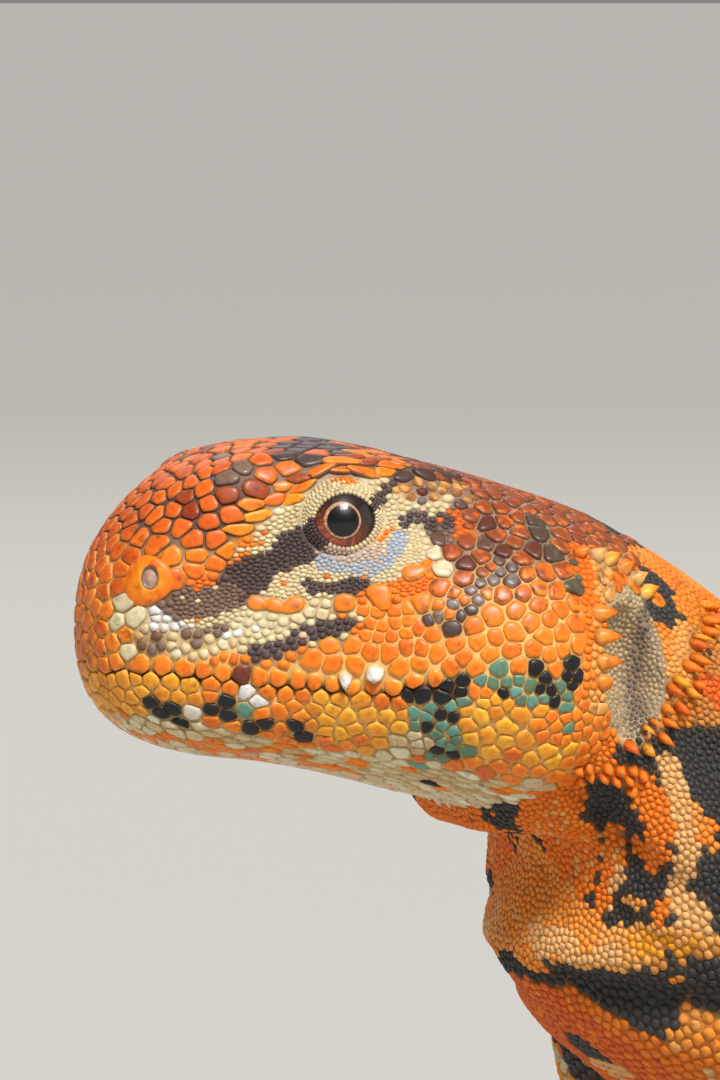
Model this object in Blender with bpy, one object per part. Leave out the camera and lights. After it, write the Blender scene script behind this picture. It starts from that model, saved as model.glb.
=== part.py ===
# Life-size ornate spiny-tailed lizard (uromastyx), a still model with its chest raised on the forelegs.
# Metres, +Z up, floor at z = 0. The head points along -X and the left side faces -Y.

import math

import bmesh
import bpy
import numpy as np
from mathutils import Vector

# Driving dimensions
HEAD = 0.0345  # snout tip to the front rim of the ear
TRUNK = 0.178  # snout tip to the vent, along the spine
TAIL = 0.142  # vent to tail tip
GAP = 0.0003  # clearance between neighbouring parts
SINK = 0.0005  # how far the underside is pressed flat by the floor
ROUNDED_END = (35, 65)  # degrees round the end of a limb where its last rings stand
SHARP_FROM = 40  # edges sharper than this many degrees stay crisp
END = TRUNK + TAIL

# Spine, from the snout backwards: distance, descent and swing to the right, both in degrees
SPINE = (
    (0.0, 0, -10),
    (0.026, 0, -10),
    (0.038, 44, -7),
    (0.050, 50, -4),
    (0.062, 44, -1),
    (0.080, 33, 1),
    (0.110, 20, 3),
    (0.140, 9, 4),
    (0.165, 3, 3),
    (0.200, 0, -3),
    (0.260, 0, -16),
    (END, 0, -26),
)
FLAT_FROM = 0.160  # behind this the underside lies on the floor
SPINE_STEPS = 641  # points kept along the spine, half a millimetre apart

# Head sections: distance from the snout, half width, height above and depth below the axis (all as shares
# of HEAD), how square, how much narrower at the top
HEAD_SECTIONS = (
    (0.000, 0.000, 0.000, 0.000, 2.0, 0.00),
    (0.012, 0.090, 0.122, 0.105, 2.1, 0.02),
    (0.035, 0.130, 0.176, 0.148, 2.2, 0.05),
    (0.070, 0.168, 0.228, 0.186, 2.3, 0.10),
    (0.130, 0.212, 0.292, 0.226, 2.3, 0.16),
    (0.230, 0.258, 0.352, 0.256, 2.4, 0.22),
    (0.350, 0.296, 0.384, 0.272, 2.4, 0.26),
    (0.470, 0.330, 0.388, 0.296, 2.4, 0.30),
    (0.590, 0.372, 0.370, 0.328, 2.3, 0.30),
    (0.710, 0.416, 0.338, 0.360, 2.3, 0.28),
    (0.830, 0.446, 0.304, 0.374, 2.3, 0.24),
    (0.940, 0.432, 0.268, 0.352, 2.3, 0.20),
    (1.040, 0.398, 0.236, 0.304, 2.2, 0.16),
    (1.120, 0.342, 0.202, 0.240, 2.1, 0.10),
    (1.180, 0.256, 0.158, 0.170, 2.0, 0.05),
    (1.220, 0.140, 0.090, 0.092, 2.0, 0.00),
    (1.235, 0.000, 0.000, 0.000, 2.0, 0.00),
)
# Where the head's rings stand, as shares of HEAD, and how many points go round each
HEAD_RINGS = (
    0.012, 0.035, 0.07, 0.12, 0.18, 0.24, 0.30, 0.36, 0.42, 0.48, 0.54,
    0.60, 0.67, 0.74, 0.82, 0.90, 0.98, 1.06, 1.13, 1.19, 1.225,
)
HEAD_ROUND = 30
# Body sections: distance along the spine, half width, height, depth, how square, how much narrower on top
BODY_SECTIONS = (
    (0.026, 0.0100, 0.0080, 0.0084, 2.0, 0.00),
    (0.032, 0.0126, 0.0094, 0.0116, 2.1, 0.05),
    (0.040, 0.0140, 0.0112, 0.0126, 2.2, 0.08),
    (0.046, 0.0148, 0.0122, 0.0134, 2.2, 0.10),
    (0.052, 0.0160, 0.0130, 0.0178, 2.2, 0.12),
    (0.060, 0.0180, 0.0140, 0.0172, 2.2, 0.14),
    (0.068, 0.0200, 0.0148, 0.0164, 2.2, 0.16),
    (0.080, 0.0232, 0.0150, 0.0158, 2.2, 0.16),
    (0.100, 0.0276, 0.0158, 0.0160, 2.3, 0.18),
    (0.120, 0.0294, 0.0160, 0.0158, 2.3, 0.18),
    (0.140, 0.0270, 0.0150, 0.0148, 2.3, 0.18),
    (0.158, 0.0214, 0.0134, 0.0130, 2.3, 0.14),
    (0.170, 0.0174, 0.0120, 0.0114, 2.3, 0.10),
    (TRUNK, 0.0152, 0.0108, 0.0102, 2.3, 0.08),
    (0.190, 0.0144, 0.0096, 0.0090, 2.3, 0.06),
    (0.210, 0.0138, 0.0086, 0.0080, 2.3, 0.05),
    (0.240, 0.0120, 0.0074, 0.0068, 2.3, 0.04),
    (0.275, 0.0092, 0.0058, 0.0054, 2.2, 0.02),
    (0.302, 0.0062, 0.0042, 0.0040, 2.1, 0.00),
    (0.315, 0.0038, 0.0029, 0.0028, 2.0, 0.00),
    (END, 0.0006, 0.0006, 0.0006, 2.0, 0.00),
)
# Swellings and hollows of the head: a line of (back, out, up) points from the snout's tip, spread and rise
HEAD_FORMS = {
    "brow": (
        (
            (0.0090, 0.0056, 0.0102),
            (0.0140, 0.0064, 0.0124),
            (0.0185, 0.0068, 0.0124),
            (0.0230, 0.0072, 0.0106),
        ),
        0.0016,
        0.0013,
    ),
    "snout ridge": (((0.0035, 0.0050, 0.0050), (0.0090, 0.0058, 0.0095)), 0.0014, 0.0005),
    "cheek": (((0.0235, 0.0128, -0.0020), (0.0300, 0.0140, -0.0040)), 0.0044, 0.0013),
    "jowl": (((0.0300, 0.0110, -0.0100), (0.0345, 0.0105, -0.0092)), 0.0026, 0.0010),
    "lore": (((0.0080, 0.0080, 0.0040), (0.0120, 0.0092, 0.0050)), 0.0018, -0.0007),
    "temple": (((0.0235, 0.0098, 0.0075), (0.0265, 0.0105, 0.0065)), 0.0020, -0.0007),
    "lip": (
        ((0.0060, 0.0080, -0.0014), (0.0140, 0.0104, -0.0016), (0.0210, 0.0124, -0.0022)),
        0.0009,
        0.0004,
    ),
    "chin": (((0.0030, 0.0030, -0.0056), (0.0060, 0.0045, -0.0066)), 0.0016, 0.0003),
}
# Swellings of the body: distance along the spine, angle from the top, spread along and around, rise
BODY_FORMS = {
    "throat fold": (0.0384, 162, 0.0020, 42, 0.0020),
    "neck fold": (0.0470, 118, 0.0022, 40, 0.0012),
    "shoulder": (0.0620, 78, 0.0060, 26, 0.0012),
    "flank fold": (0.1100, 112, 0.0260, 13, 0.0016),
    "hip": (0.1600, 55, 0.0070, 22, 0.0012),
}

# Eye, in head coordinates (back, out, up), and its lids
EYE_AT = (0.0166, 0.0074, 0.0080)
EYE_RADIUS = 0.0030
EYE_AIM = (-0.16, 1.0, 0.10)  # it looks out, slightly ahead and up
LID_HALF = (0.0026, 0.0022)  # half length and half height of the lids' ring
LID_THICK = 0.0007
LID_OUT = 0.0020  # the ring lies this far out from the eye's centre
LID_UPPER_THINNER = 0.25  # how much thinner the upper lid is
LID_CORNER = 0.30  # how much the slit narrows towards its two corners
LID_STEPS = (18, 6)  # points along the ring and round its thickness

# Mouth: a groove at this height along the lips, from the front round to each corner
MOUTH_LINE = (
    (0.0002, -0.0022),
    (0.0040, -0.0024),
    (0.0100, -0.0030),
    (0.0160, -0.0036),
    (0.0185, -0.0037),
    (0.0202, -0.0031),
    (0.0226, -0.0038),
)
MOUTH_FRONT = 0.0009  # where the line of one side begins
MOUTH_STEPS = 15
MOUTH_GROOVE = 0.00036  # its radius

NOSTRIL_AT = (0.0028, 0.0052, 0.0042)
NOSTRIL_AIM = (-0.62, 1.0, 0.25)
NOSTRIL_SHIELD = (0.0021, 0.0006, 0.0019)  # half length, rise and half height
NOSTRIL_PIT = (0.0007, 0.0011, 0.0006)
NOSTRIL_BACK = 0.0005  # the pit lies this far behind the shield's middle

# Ear: an upright cup behind the cheek with a drum at its bottom
EAR_AT = (0.0362, 0.0148, -0.0030)
EAR_CUP = (0.0029, 0.0040, 0.0056)  # half length, depth and half height
DRUM = (0.0012, 0.0004, 0.0028)
DRUM_CLEAR = 0.0006  # between the drum's middle and the cup's bottom

# Cones down the front rim of each ear, as (height above the ear's middle, length). They point back
EAR_SPINES = ((0.0046, 0.0010), (0.0029, 0.0014), (0.0012, 0.0017), (-0.0005, 0.0017), (-0.0022, 0.0013))
EAR_RIM = 1.10  # the rim lies this many half lengths of the cup ahead of its middle
EAR_SPINE_AIM = (0.86, 0.46)  # back and outward
# Tubercles on the neck in an arc behind each ear: first and last angle from the top, and where the arc is
# along the spine
NAPE_SPINES = 10
NAPE_ARC = (32, 122)
NAPE_PLACE = 0.0394
NAPE_LENGTH = (0.0014, 0.0021)  # at the ends and in the middle of the arc
NAPE_SPINE_AIM = (0.55, 0.80)
NAPE_VARY = 0.15  # every other one is longer by this share
SPINE_RADIUS = 0.50  # share of its length
SPINE_SIDES = 5

# Parts of the neck, trunk and tail, by where they begin and end along the spine, with the distance from
# ring to ring and the points round each
NECK_SPAN = (0.026, 0.053)
NECK_STEP, NECK_ROUND = 0.0022, 32
TRUNK_PARTS = {"chest": (0.053, 0.094), "belly": (0.094, 0.138), "hips": (0.138, 0.184)}
TRUNK_STEP, TRUNK_ROUND = 0.0044, 30

# The tail's whorls of spines: each rises along keels to a ring of points that overhang the next whorl
WHORLS = 24
WHORLS_FROM, WHORLS_TO = TRUNK_PARTS["hips"][1], 0.3160
WHORL_SHRINK = 0.58  # the last whorl's length as a share of the first
SPINES_SHRINK = 0.52  # how much smaller the last whorl's spines are
TAIL_PARTS = {"tail_root": (0, 8), "tail_middle": (8, 16), "tail_tip": (16, WHORLS)}
TAIL_END = END - 0.0010
SPINES_ROUND = 14
SPINES_VARY = 0.30  # range of the spines' sizes, as a share
# Along a whorl: share of its length, rise of the keels, rise of the valleys between, overhang of the keels
WHORL = ((0.60, 0.0007, 0.0002, 0.0), (0.90, 0.0020, 0.0003, 0.0022), (1.0, 0.0, 0.0, 0.0))
SPINES_END, SPINES_FADE = 128, 24  # no spines beyond this angle from the top, fading over the second
SEED = 7

# Legs: distance of the joint along the spine, share of the half width, drop below the axis
SHOULDER = (0.0640, 0.70, 0.0040)
HIP = (0.1620, 0.62, 0.0000)
# Joints of each leg from its root: back, out, and height above the floor. Then how far the foot aims outward,
# in degrees
LEG_POSES = {
    "foreleg_left": ((0.0080, 0.0155, 0.0225), (-0.0030, 0.0205, 0.0072), 32),
    "foreleg_right": ((0.0095, 0.0150, 0.0225), (0.0010, 0.0205, 0.0072), 40),
    "hindleg_left": ((-0.0150, 0.0240, 0.0120), (0.0090, 0.0340, 0.0078), 38),
    "hindleg_right": ((-0.0120, 0.0255, 0.0120), (0.0125, 0.0330, 0.0078), 50),
}
# Radii along the upper and lower length of a leg
LEG_RADII = {
    "foreleg": ((0.0078, 0.0076, 0.0066, 0.0056), (0.0055, 0.0056, 0.0046, 0.0036)),
    "hindleg": ((0.0094, 0.0098, 0.0086, 0.0066), (0.0064, 0.0068, 0.0056, 0.0042)),
}
LEG_STATIONS = (0, 0.36, 0.72, 1)  # where those radii are, as shares of the length
LEG_ROUND = 14
LEG_BOW = {"foreleg": 0.0, "hindleg": 0.0016}  # how far the upper length arches up
BODY_BY_LEG = {"foreleg": (0.040, 0.110), "hindleg": (0.120, 0.186)}  # the body that a leg is cut clear of
LEG_NAMES = {"foreleg": ("upper_arm", "forearm", "hand"), "hindleg": ("thigh", "shin", "foot")}
# Feet: palm length and half width, toe lengths from the inner to the outer, their spread in degrees, and
# the toes' radius
FEET = {
    "foreleg": (0.0080, 0.0056, (0.0044, 0.0062, 0.0070, 0.0066, 0.0048), (-56, -27, -4, 19, 48), 0.0017),
    "hindleg": (0.0120, 0.0060, (0.0046, 0.0070, 0.0094, 0.0112, 0.0070), (-42, -21, -5, 13, 44), 0.0018),
}
HEEL_BACK = 0.0012  # the heel lies this far behind the wrist
TOES_FROM = 0.72  # share of the palm where the toes begin
TOES_APART = 0.66  # share of the half width by which their roots spread
TOE_INSIDE = 0.18  # share of the half width from there to the toe's first ring
# Palm, along its length: share of the length, height, share of the half width
PALM = ((0.0, 0.0058, 0.66), (0.34, 0.0036, 0.88), (0.70, 0.0024, 1.0), (1.0, 0.0017, 0.84))
PALM_FLAT = 0.51
# Toe, along its length: share of the length, height, share of the radius
TOE = ((0.0, 0.0020, 1.10), (0.40, 0.0026, 1.06), (0.76, 0.0021, 0.94), (1.0, 0.0015, 0.78))
# Claw, from the toe's end to its point: share of the length, drop, share of the toe's radius
CLAW = ((-0.10, -0.0001, 0.62), (0.55, 0.0000, 0.42))
CLAW_LENGTH = 0.0034
CLAW_TIP = 0.0003  # height of the point above the floor

# Colour, roughness
SKIN_ORANGE = ((0.78, 0.26, 0.04), 0.55)
SKIN_DARK = ((0.10, 0.10, 0.10), 0.60)
SKIN_SAND = ((0.62, 0.42, 0.22), 0.60)
EYE_BROWN = ((0.05, 0.02, 0.01), 0.08)
DRUM_GREY = ((0.36, 0.30, 0.24), 0.45)


def smooth_curve(knots, values, at):
    """A curve through the knots that never swings past them."""
    knots, values, at = (np.asarray(a, float) for a in (knots, values, at))
    step = np.diff(knots)
    slope = np.diff(values) / step
    lean = np.zeros_like(values)
    lean[0], lean[-1] = slope[0], slope[-1]
    same_way = slope[:-1] * slope[1:] > 0
    total = np.where(same_way, slope[:-1] + slope[1:], 1.0)
    lean[1:-1] = np.where(same_way, 2 * slope[:-1] * slope[1:] / total, 0.0)
    i = np.clip(np.searchsorted(knots, at) - 1, 0, len(step) - 1)
    t = np.clip((at - knots[i]) / step[i], 0, 1)
    start = values[i] * (1 + 2 * t) + lean[i] * step[i] * t
    end = values[i + 1] * (3 - 2 * t) + lean[i + 1] * step[i] * (t - 1)
    return start * (1 - t) ** 2 + end * t**2


def read_sections(table, at):
    """The sizes in a table of sections at one distance. Near a rounded tip they follow a root curve."""
    columns = np.array(table, float).T
    knots = np.sqrt(columns[0] - columns[0][0])
    place = math.sqrt(max(at - columns[0][0], 0.0))
    return [float(smooth_curve(knots, column, place)) for column in columns[1:]]


def spine_path():
    """Points along the spine from the snout to the tail's tip, with its descent and swing at each."""
    at = np.linspace(0, END, SPINE_STEPS)
    knots, descent, swing = np.array(SPINE, float).T
    down = np.radians(smooth_curve(knots, descent, at))
    turn = np.radians(smooth_curve(knots, swing, at))
    along = np.stack([np.cos(down) * np.cos(turn), np.cos(down) * np.sin(turn), -np.sin(down)], 1)
    steps = (along[1:] + along[:-1]) / 2 * np.diff(at)[:, None]
    points = np.vstack([np.zeros(3), np.cumsum(steps, 0)])
    depths = np.array([read_sections(BODY_SECTIONS, max(a, BODY_SECTIONS[0][0]))[2] for a in at])
    resting = at >= FLAT_FROM
    first = int(np.argmax(resting))
    points[:, 2] += depths[first] - SINK - points[first, 2]
    points[resting, 2] = depths[resting] - SINK
    return at, points, down, turn


PATH = spine_path()


def frame_at(s):
    """(point, back, left, up) of the spine at a distance from the snout."""
    at, points, down, turn = PATH
    point = Vector([float(np.interp(s, at, points[:, k])) for k in range(3)])
    descent, swing = float(np.interp(s, at, down)), float(np.interp(s, at, turn))
    level = math.cos(descent)
    back = Vector((level * math.cos(swing), level * math.sin(swing), -math.sin(descent)))
    left = Vector((math.sin(swing), -math.cos(swing), 0))
    return point, back, left, left.cross(back)


def head_point(back, out, up, side=1):
    """A place on the head, from the snout's tip. side is 1 on the left and -1 on the right."""
    origin, along, left, upward = frame_at(0)
    return origin + along * back + left * out * side + upward * up


def section_ring(sizes, turns, grow=0.0):
    """One cross-section as (out, up) pairs: a rounded box, narrower at the top."""
    half, high, deep, square, narrow = sizes
    half, high, deep = half + grow, high + grow, deep + grow
    pairs = []
    for turn in turns:
        s, c = math.sin(turn), math.cos(turn)
        up = (high if c > 0 else deep) * math.copysign(abs(c) ** (2 / square), c)
        out = half * math.copysign(abs(s) ** (2 / square), s)
        pairs.append((out * (1 - narrow * up / (high + deep)), up))
    return pairs


def even_turns(count):
    return [2 * math.pi * k / count for k in range(count)]


def circle(centre, one, other, radius, count, flat=1.0):
    """Points round a centre in the plane of two unit directions, the second shortened by flat."""
    points = []
    for a in even_turns(count):
        points.append(centre + one * math.sin(a) * radius + other * math.cos(a) * radius * flat)
    return points


def closed_object(name, made):
    """An object from a closed bmesh, with its faces turned outward."""
    bmesh.ops.recalc_face_normals(made, faces=made.faces)
    if made.calc_volume(signed=True) < 0:
        bmesh.ops.reverse_faces(made, faces=made.faces)
    mesh = bpy.data.meshes.new(name)
    made.to_mesh(mesh)
    made.free()
    thing = bpy.data.objects.new(name, mesh)
    bpy.context.scene.collection.objects.link(thing)
    return thing


def bridge(made, loops, closed=False):
    """Faces between each loop of vertices and the next, and back to the first if closed."""
    count = len(loops[0])
    following = loops[1:] + loops[:1] if closed else loops[1:]
    for near, far in zip(loops, following):
        for k in range(count):
            after = (k + 1) % count
            made.faces.new((near[k], near[after], far[after], far[k]))


def mesh_from_rings(name, rings, start=None, end=None):
    """A closed mesh through rings of equal count. A start or end point closes that end as a cone."""
    made = bmesh.new()
    loops = [[made.verts.new(p) for p in ring] for ring in rings]
    bridge(made, loops)
    for ring, tip in ((loops[0], start), (loops[-1], end)):
        if tip is None:
            made.faces.new(ring)
            continue
        point = made.verts.new(tip)
        for k, vertex in enumerate(ring):
            made.faces.new((vertex, ring[(k + 1) % len(ring)], point))
    return closed_object(name, made)


def level_axes(along):
    """(side, upward) across a direction, with side level."""
    side = along.cross(Vector((0, 0, 1)))
    side = side.normalized() if side.length > 0.05 else Vector((0, -1, 0))
    return side, side.cross(along)


def tube(name, points, radii, sides=10, flat=1.0, grow=0.0):
    """A limb: round sections along points, flattened by flat, with rounded ends."""
    points = [Vector(p) for p in points]
    radii = [r + grow for r in radii]
    first = (points[0] - points[1]).normalized()
    last = (points[-1] - points[-2]).normalized()
    stations = list(zip(points, radii))
    for bend in ROUNDED_END:
        reach, thin = math.sin(math.radians(bend)), math.cos(math.radians(bend))
        stations.insert(0, (points[0] + first * radii[0] * reach, radii[0] * thin))
        stations.append((points[-1] + last * radii[-1] * reach, radii[-1] * thin))
    rings = []
    for k, (centre, radius) in enumerate(stations):
        before, after = stations[max(k - 1, 0)][0], stations[min(k + 1, len(stations) - 1)][0]
        side, upward = level_axes((after - before).normalized())
        rings.append(circle(centre, side, upward, radius, sides, flat))
    return mesh_from_rings(name, rings, points[0] + first * radii[0], points[-1] + last * radii[-1])


def spine_cone(root, tip):
    """A tapered spine whose root is sunk below a point of the surface."""
    along = (tip - root).normalized()
    side = along.orthogonal().normalized()
    radius = (tip - root).length * SPINE_RADIUS
    foot = circle(root - along * radius, side, along.cross(side), radius, SPINE_SIDES)
    return mesh_from_rings("spine", [foot], None, tip)


def ellipsoid(name, centre, axes, sizes, segments=14, rings=9):
    """A ball with three half sizes along three axes."""
    made = bmesh.new()
    bmesh.ops.create_uvsphere(made, u_segments=segments, v_segments=rings, radius=1.0)
    for v in made.verts:
        x, y, z = v.co
        v.co = centre + axes[0] * x * sizes[0] + axes[1] * y * sizes[1] + axes[2] * z * sizes[2]
    return closed_object(name, made)


def boolean(thing, others, operation, solver="EXACT"):
    """Joins or cuts thing with other closed meshes, applies it and removes them."""
    group = bpy.data.collections.new("operands")
    bpy.context.scene.collection.children.link(group)
    for other in others:
        bpy.context.scene.collection.objects.unlink(other)
        group.objects.link(other)
    modifier = thing.modifiers.new(operation.lower(), "BOOLEAN")
    modifier.operand_type = "COLLECTION"
    modifier.collection = group
    modifier.operation = operation
    modifier.solver = solver
    bpy.context.view_layer.update()
    graph = bpy.context.evaluated_depsgraph_get()
    mesh = bpy.data.meshes.new_from_object(thing.evaluated_get(graph))
    thing.modifiers.clear()
    thing.data = mesh
    for other in others:
        bpy.data.objects.remove(other)
    bpy.data.collections.remove(group)


def keep_largest(thing):
    """Drops every closed surface but the largest, and leaves triangles."""
    made = bmesh.new()
    made.from_mesh(thing.data)
    left, shells = set(made.faces), []
    while left:
        shell, edge = set(), [left.pop()]
        while edge:
            face = edge.pop()
            shell.add(face)
            near = {other for e in face.edges for other in e.link_faces} & left
            left -= near
            edge.extend(near)
        shells.append(shell)
    shells.sort(key=lambda shell: sum(f.calc_area() for f in shell))
    loose = [f for shell in shells[:-1] for f in shell]
    bmesh.ops.delete(made, geom=loose, context="FACES")
    bmesh.ops.triangulate(made, faces=made.faces)
    made.to_mesh(thing.data)
    made.free()


def floor_block():
    """A block below the floor, which presses every underside flat."""
    made = bmesh.new()
    bmesh.ops.create_cube(made, size=1.0)
    for v in made.verts:
        v.co.z -= 0.5
    return closed_object("floor", made)


def finish(thing, look):
    """Keeps one closed body, shades it and gives it its material."""
    keep_largest(thing)
    thing.data.shade_smooth()
    thing.data.set_sharp_from_angle(angle=math.radians(SHARP_FROM))
    colour, roughness = look
    material = bpy.data.materials.new(thing.name)
    material.use_nodes = True
    shader = material.node_tree.nodes["Principled BSDF"]
    shader.inputs["Base Color"].default_value = (*colour, 1)
    shader.inputs["Roughness"].default_value = roughness
    shader.inputs["Metallic"].default_value = 0.0
    thing.data.materials.clear()
    thing.data.materials.append(material)


def near_line(point, line):
    """Distance from a point to a line of points."""
    distances = []
    for a, b in zip(line, line[1:]):
        a, b = Vector(a), Vector(b)
        t = max(0.0, min(1.0, (point - a).dot(b - a) / (b - a).length_squared))
        distances.append((point - a.lerp(b, t)).length)
    return min(distances)


def head_surface(back, turn, grow=0.0):
    """(out, up) on the head's surface at a distance from the snout and an angle from the top."""
    sizes = read_sections(HEAD_SECTIONS, back / HEAD)
    scaled = [s * HEAD for s in sizes[:3]] + sizes[3:]
    ((out, up),) = section_ring(scaled, (turn,), grow)
    here = Vector((back, abs(out), up))
    radius = math.hypot(out, up)
    for line, spread, rise in HEAD_FORMS.values():
        swell = rise * math.exp(-((near_line(here, line) / spread) ** 2) / 2)
        out += out / radius * swell
        up += up / radius * swell
    return out, up


def head_shell(grow=0.0):
    """The head from the snout to the rounded back that the neck wraps."""
    rings = []
    for share in HEAD_RINGS:
        pairs = [head_surface(share * HEAD, turn, grow) for turn in even_turns(HEAD_ROUND)]
        rings.append([head_point(share * HEAD, out, up) for out, up in pairs])
    end = HEAD_SECTIONS[-1][0] * HEAD + grow
    return mesh_from_rings("head", rings, head_point(-grow, 0, 0), head_point(end, 0, 0))


def turn_at_height(back, height):
    """The angle from the top at which the head's side has this height."""
    turns = np.radians(np.arange(20, 161))
    heights = np.array([head_surface(back, turn)[1] for turn in turns])
    return float(turns[int(np.argmin(np.abs(heights - height)))])


def aimed_axes(side, aim):
    """(along, outward, across) of something on the head that faces aim = (back, out, up)."""
    _, back, left, up = frame_at(0)
    outward = (back * aim[0] + left * side * aim[1] + up * aim[2]).normalized()
    along = (back - outward * back.dot(outward)).normalized()
    return along, outward, outward.cross(along) * side


def lid_ring(side):
    """Both lids of an eye as one raised ring round the slit, thickest below."""
    along, outward, across = aimed_axes(side, EYE_AIM)
    centre = head_point(*EYE_AT, side) + outward * LID_OUT
    around, through = LID_STEPS
    made = bmesh.new()
    loops = []
    for turn in even_turns(around):
        reach = math.cos(turn) * LID_HALF[0]
        open_by = math.sin(turn) * LID_HALF[1] * (1 - LID_CORNER * math.cos(turn) ** 2)
        middle = centre + along * reach + across * open_by
        away = (middle - centre).normalized()
        thick = LID_THICK * (1 - LID_UPPER_THINNER * max(math.sin(turn), 0.0))
        loops.append([made.verts.new(p) for p in circle(middle, outward, away, thick, through)])
    bridge(made, loops, closed=True)
    return closed_object("lid", made)


def mouth_groove():
    """A thin round cutter that follows both lips and meets at the front."""
    knots, heights = zip(*MOUTH_LINE)
    side_line = []
    for back in np.linspace(MOUTH_FRONT, MOUTH_LINE[-1][0], MOUTH_STEPS):
        height = float(smooth_curve(knots, heights, back))
        side_line.append((back, *head_surface(back, turn_at_height(back, height))))
    left = [head_point(*p, 1) for p in side_line]
    right = [head_point(*p, -1) for p in side_line]
    front = head_point(MOUTH_LINE[0][0], 0, MOUTH_LINE[0][1])
    line = left[::-1] + [front] + right
    return tube("mouth", line, [MOUTH_GROOVE] * len(line), sides=6)


def nostril(side):
    """The raised shield round a nostril, and the cutter of its pit."""
    axes = aimed_axes(side, NOSTRIL_AIM)
    place, _, height = NOSTRIL_AT
    centre = head_point(place, *head_surface(place, turn_at_height(place, height)), side)
    shield = ellipsoid("shield", centre, axes, NOSTRIL_SHIELD, 12, 8)
    opening = centre + axes[1] * NOSTRIL_SHIELD[1] + axes[0] * NOSTRIL_BACK
    return shield, ellipsoid("pit", opening, axes, NOSTRIL_PIT, 8, 6)


def ear_axes(side):
    """(back, outward, up) of an ear's cup."""
    _, back, left, up = frame_at(0)
    return back, left * side, up


def ear_cup(side, grow=0.0):
    sizes = [s + grow for s in EAR_CUP]
    return ellipsoid("cup", head_point(*EAR_AT, side), ear_axes(side), sizes)


def ear_spines(side):
    """Cones in a row down the front rim of an ear, pointing back over it."""
    back, outward, _ = ear_axes(side)
    aim = back * EAR_SPINE_AIM[0] + outward * EAR_SPINE_AIM[1]
    place = EAR_AT[0] - EAR_CUP[0] * EAR_RIM
    spines = []
    for height, length in EAR_SPINES:
        out, up = head_surface(place, turn_at_height(place, EAR_AT[2] + height))
        root = head_point(place, out, up, side)
        spines.append(spine_cone(root, root + aim * length))
    return spines


def make_head():
    head = head_shell()
    shields, pits = zip(*(nostril(side) for side in (1, -1)))
    boolean(head, [lid_ring(1), lid_ring(-1), *shields, *ear_spines(1), *ear_spines(-1)], "UNION")
    cutters = [mouth_groove(), *pits]
    for side in (1, -1):
        clear = (EYE_RADIUS + GAP,) * 3
        cutters.append(ellipsoid("socket", head_point(*EYE_AT, side), aimed_axes(side, EYE_AIM), clear))
        cutters.append(ear_cup(side))
    boolean(head, cutters, "DIFFERENCE")
    finish(head, SKIN_ORANGE)


def make_eye(name, side):
    eye = ellipsoid(name, head_point(*EYE_AT, side), aimed_axes(side, EYE_AIM), (EYE_RADIUS,) * 3)
    finish(eye, EYE_BROWN)


def make_drum(name, side):
    """The ear's drum, a thin lens clear of the cup's bottom."""
    back, out, up = EAR_AT
    centre = head_point(back, out - EAR_CUP[1] + DRUM[1] + DRUM_CLEAR, up, side)
    finish(ellipsoid(name, centre, ear_axes(side), DRUM, 12, 8), DRUM_GREY)


def body_ring(s, count, grow=0.0):
    """One ring of the neck, trunk or tail in place."""
    centre, _, left, up = frame_at(s)
    turns = even_turns(count)
    pairs = section_ring(read_sections(BODY_SECTIONS, s), turns, grow)
    ring = []
    for turn, (out, high) in zip(turns, pairs):
        angle = math.degrees(min(turn, 2 * math.pi - turn))
        swell = 0.0
        for place, round_at, along, around, rise in BODY_FORMS.values():
            away = ((s - place) / along) ** 2 + ((angle - round_at) / around) ** 2
            swell += rise * math.exp(-away / 2)
        larger = 1 + swell / math.hypot(out, high)
        ring.append(centre + left * out * larger + up * high * larger)
    return ring


def body_length(name, start, end, step, count, grow=0.0):
    """A length of the body between two flat faces across the spine."""
    pieces = max(2, round((end - start) / step))
    rings = [body_ring(start + (end - start) * k / pieces, count, grow) for k in range(pieces + 1)]
    return mesh_from_rings(name, rings, frame_at(start)[0], frame_at(end)[0])


def nape_spines(side):
    """Tubercles in an arc on the neck behind an ear."""
    centre, back, _, _ = frame_at(NAPE_PLACE)
    spines = []
    for k in range(NAPE_SPINES):
        share = k / (NAPE_SPINES - 1)
        bulge = math.sin(share * math.pi)
        angle = NAPE_ARC[0] + (NAPE_ARC[1] - NAPE_ARC[0]) * share
        root = body_ring(NAPE_PLACE, 360)[round(angle) * side % 360]
        length = NAPE_LENGTH[0] + (NAPE_LENGTH[1] - NAPE_LENGTH[0]) * bulge
        length *= 1 + NAPE_VARY * (k % 2)
        aim = back * NAPE_SPINE_AIM[0] + (root - centre).normalized() * NAPE_SPINE_AIM[1]
        spines.append(spine_cone(root, root + aim * length))
    return spines


def make_neck():
    neck = body_length("neck", *NECK_SPAN, NECK_STEP, NECK_ROUND)
    boolean(neck, [*nape_spines(1), *nape_spines(-1)], "UNION")
    boolean(neck, [head_shell(GAP), ear_cup(1, GAP), ear_cup(-1, GAP)], "DIFFERENCE")
    finish(neck, SKIN_ORANGE)


def make_trunk_part(name, start, end):
    part = body_length(name, start + GAP, end, TRUNK_STEP, TRUNK_ROUND)
    boolean(part, [floor_block()], "DIFFERENCE")
    finish(part, SKIN_DARK)


def whorl_edges():
    """Where each tail whorl begins and the last one ends. They shorten towards the tip."""
    edges = np.concatenate([[0], np.cumsum(np.linspace(1, WHORL_SHRINK, WHORLS))])
    return WHORLS_FROM + edges / edges[-1] * (WHORLS_TO - WHORLS_FROM)


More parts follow.
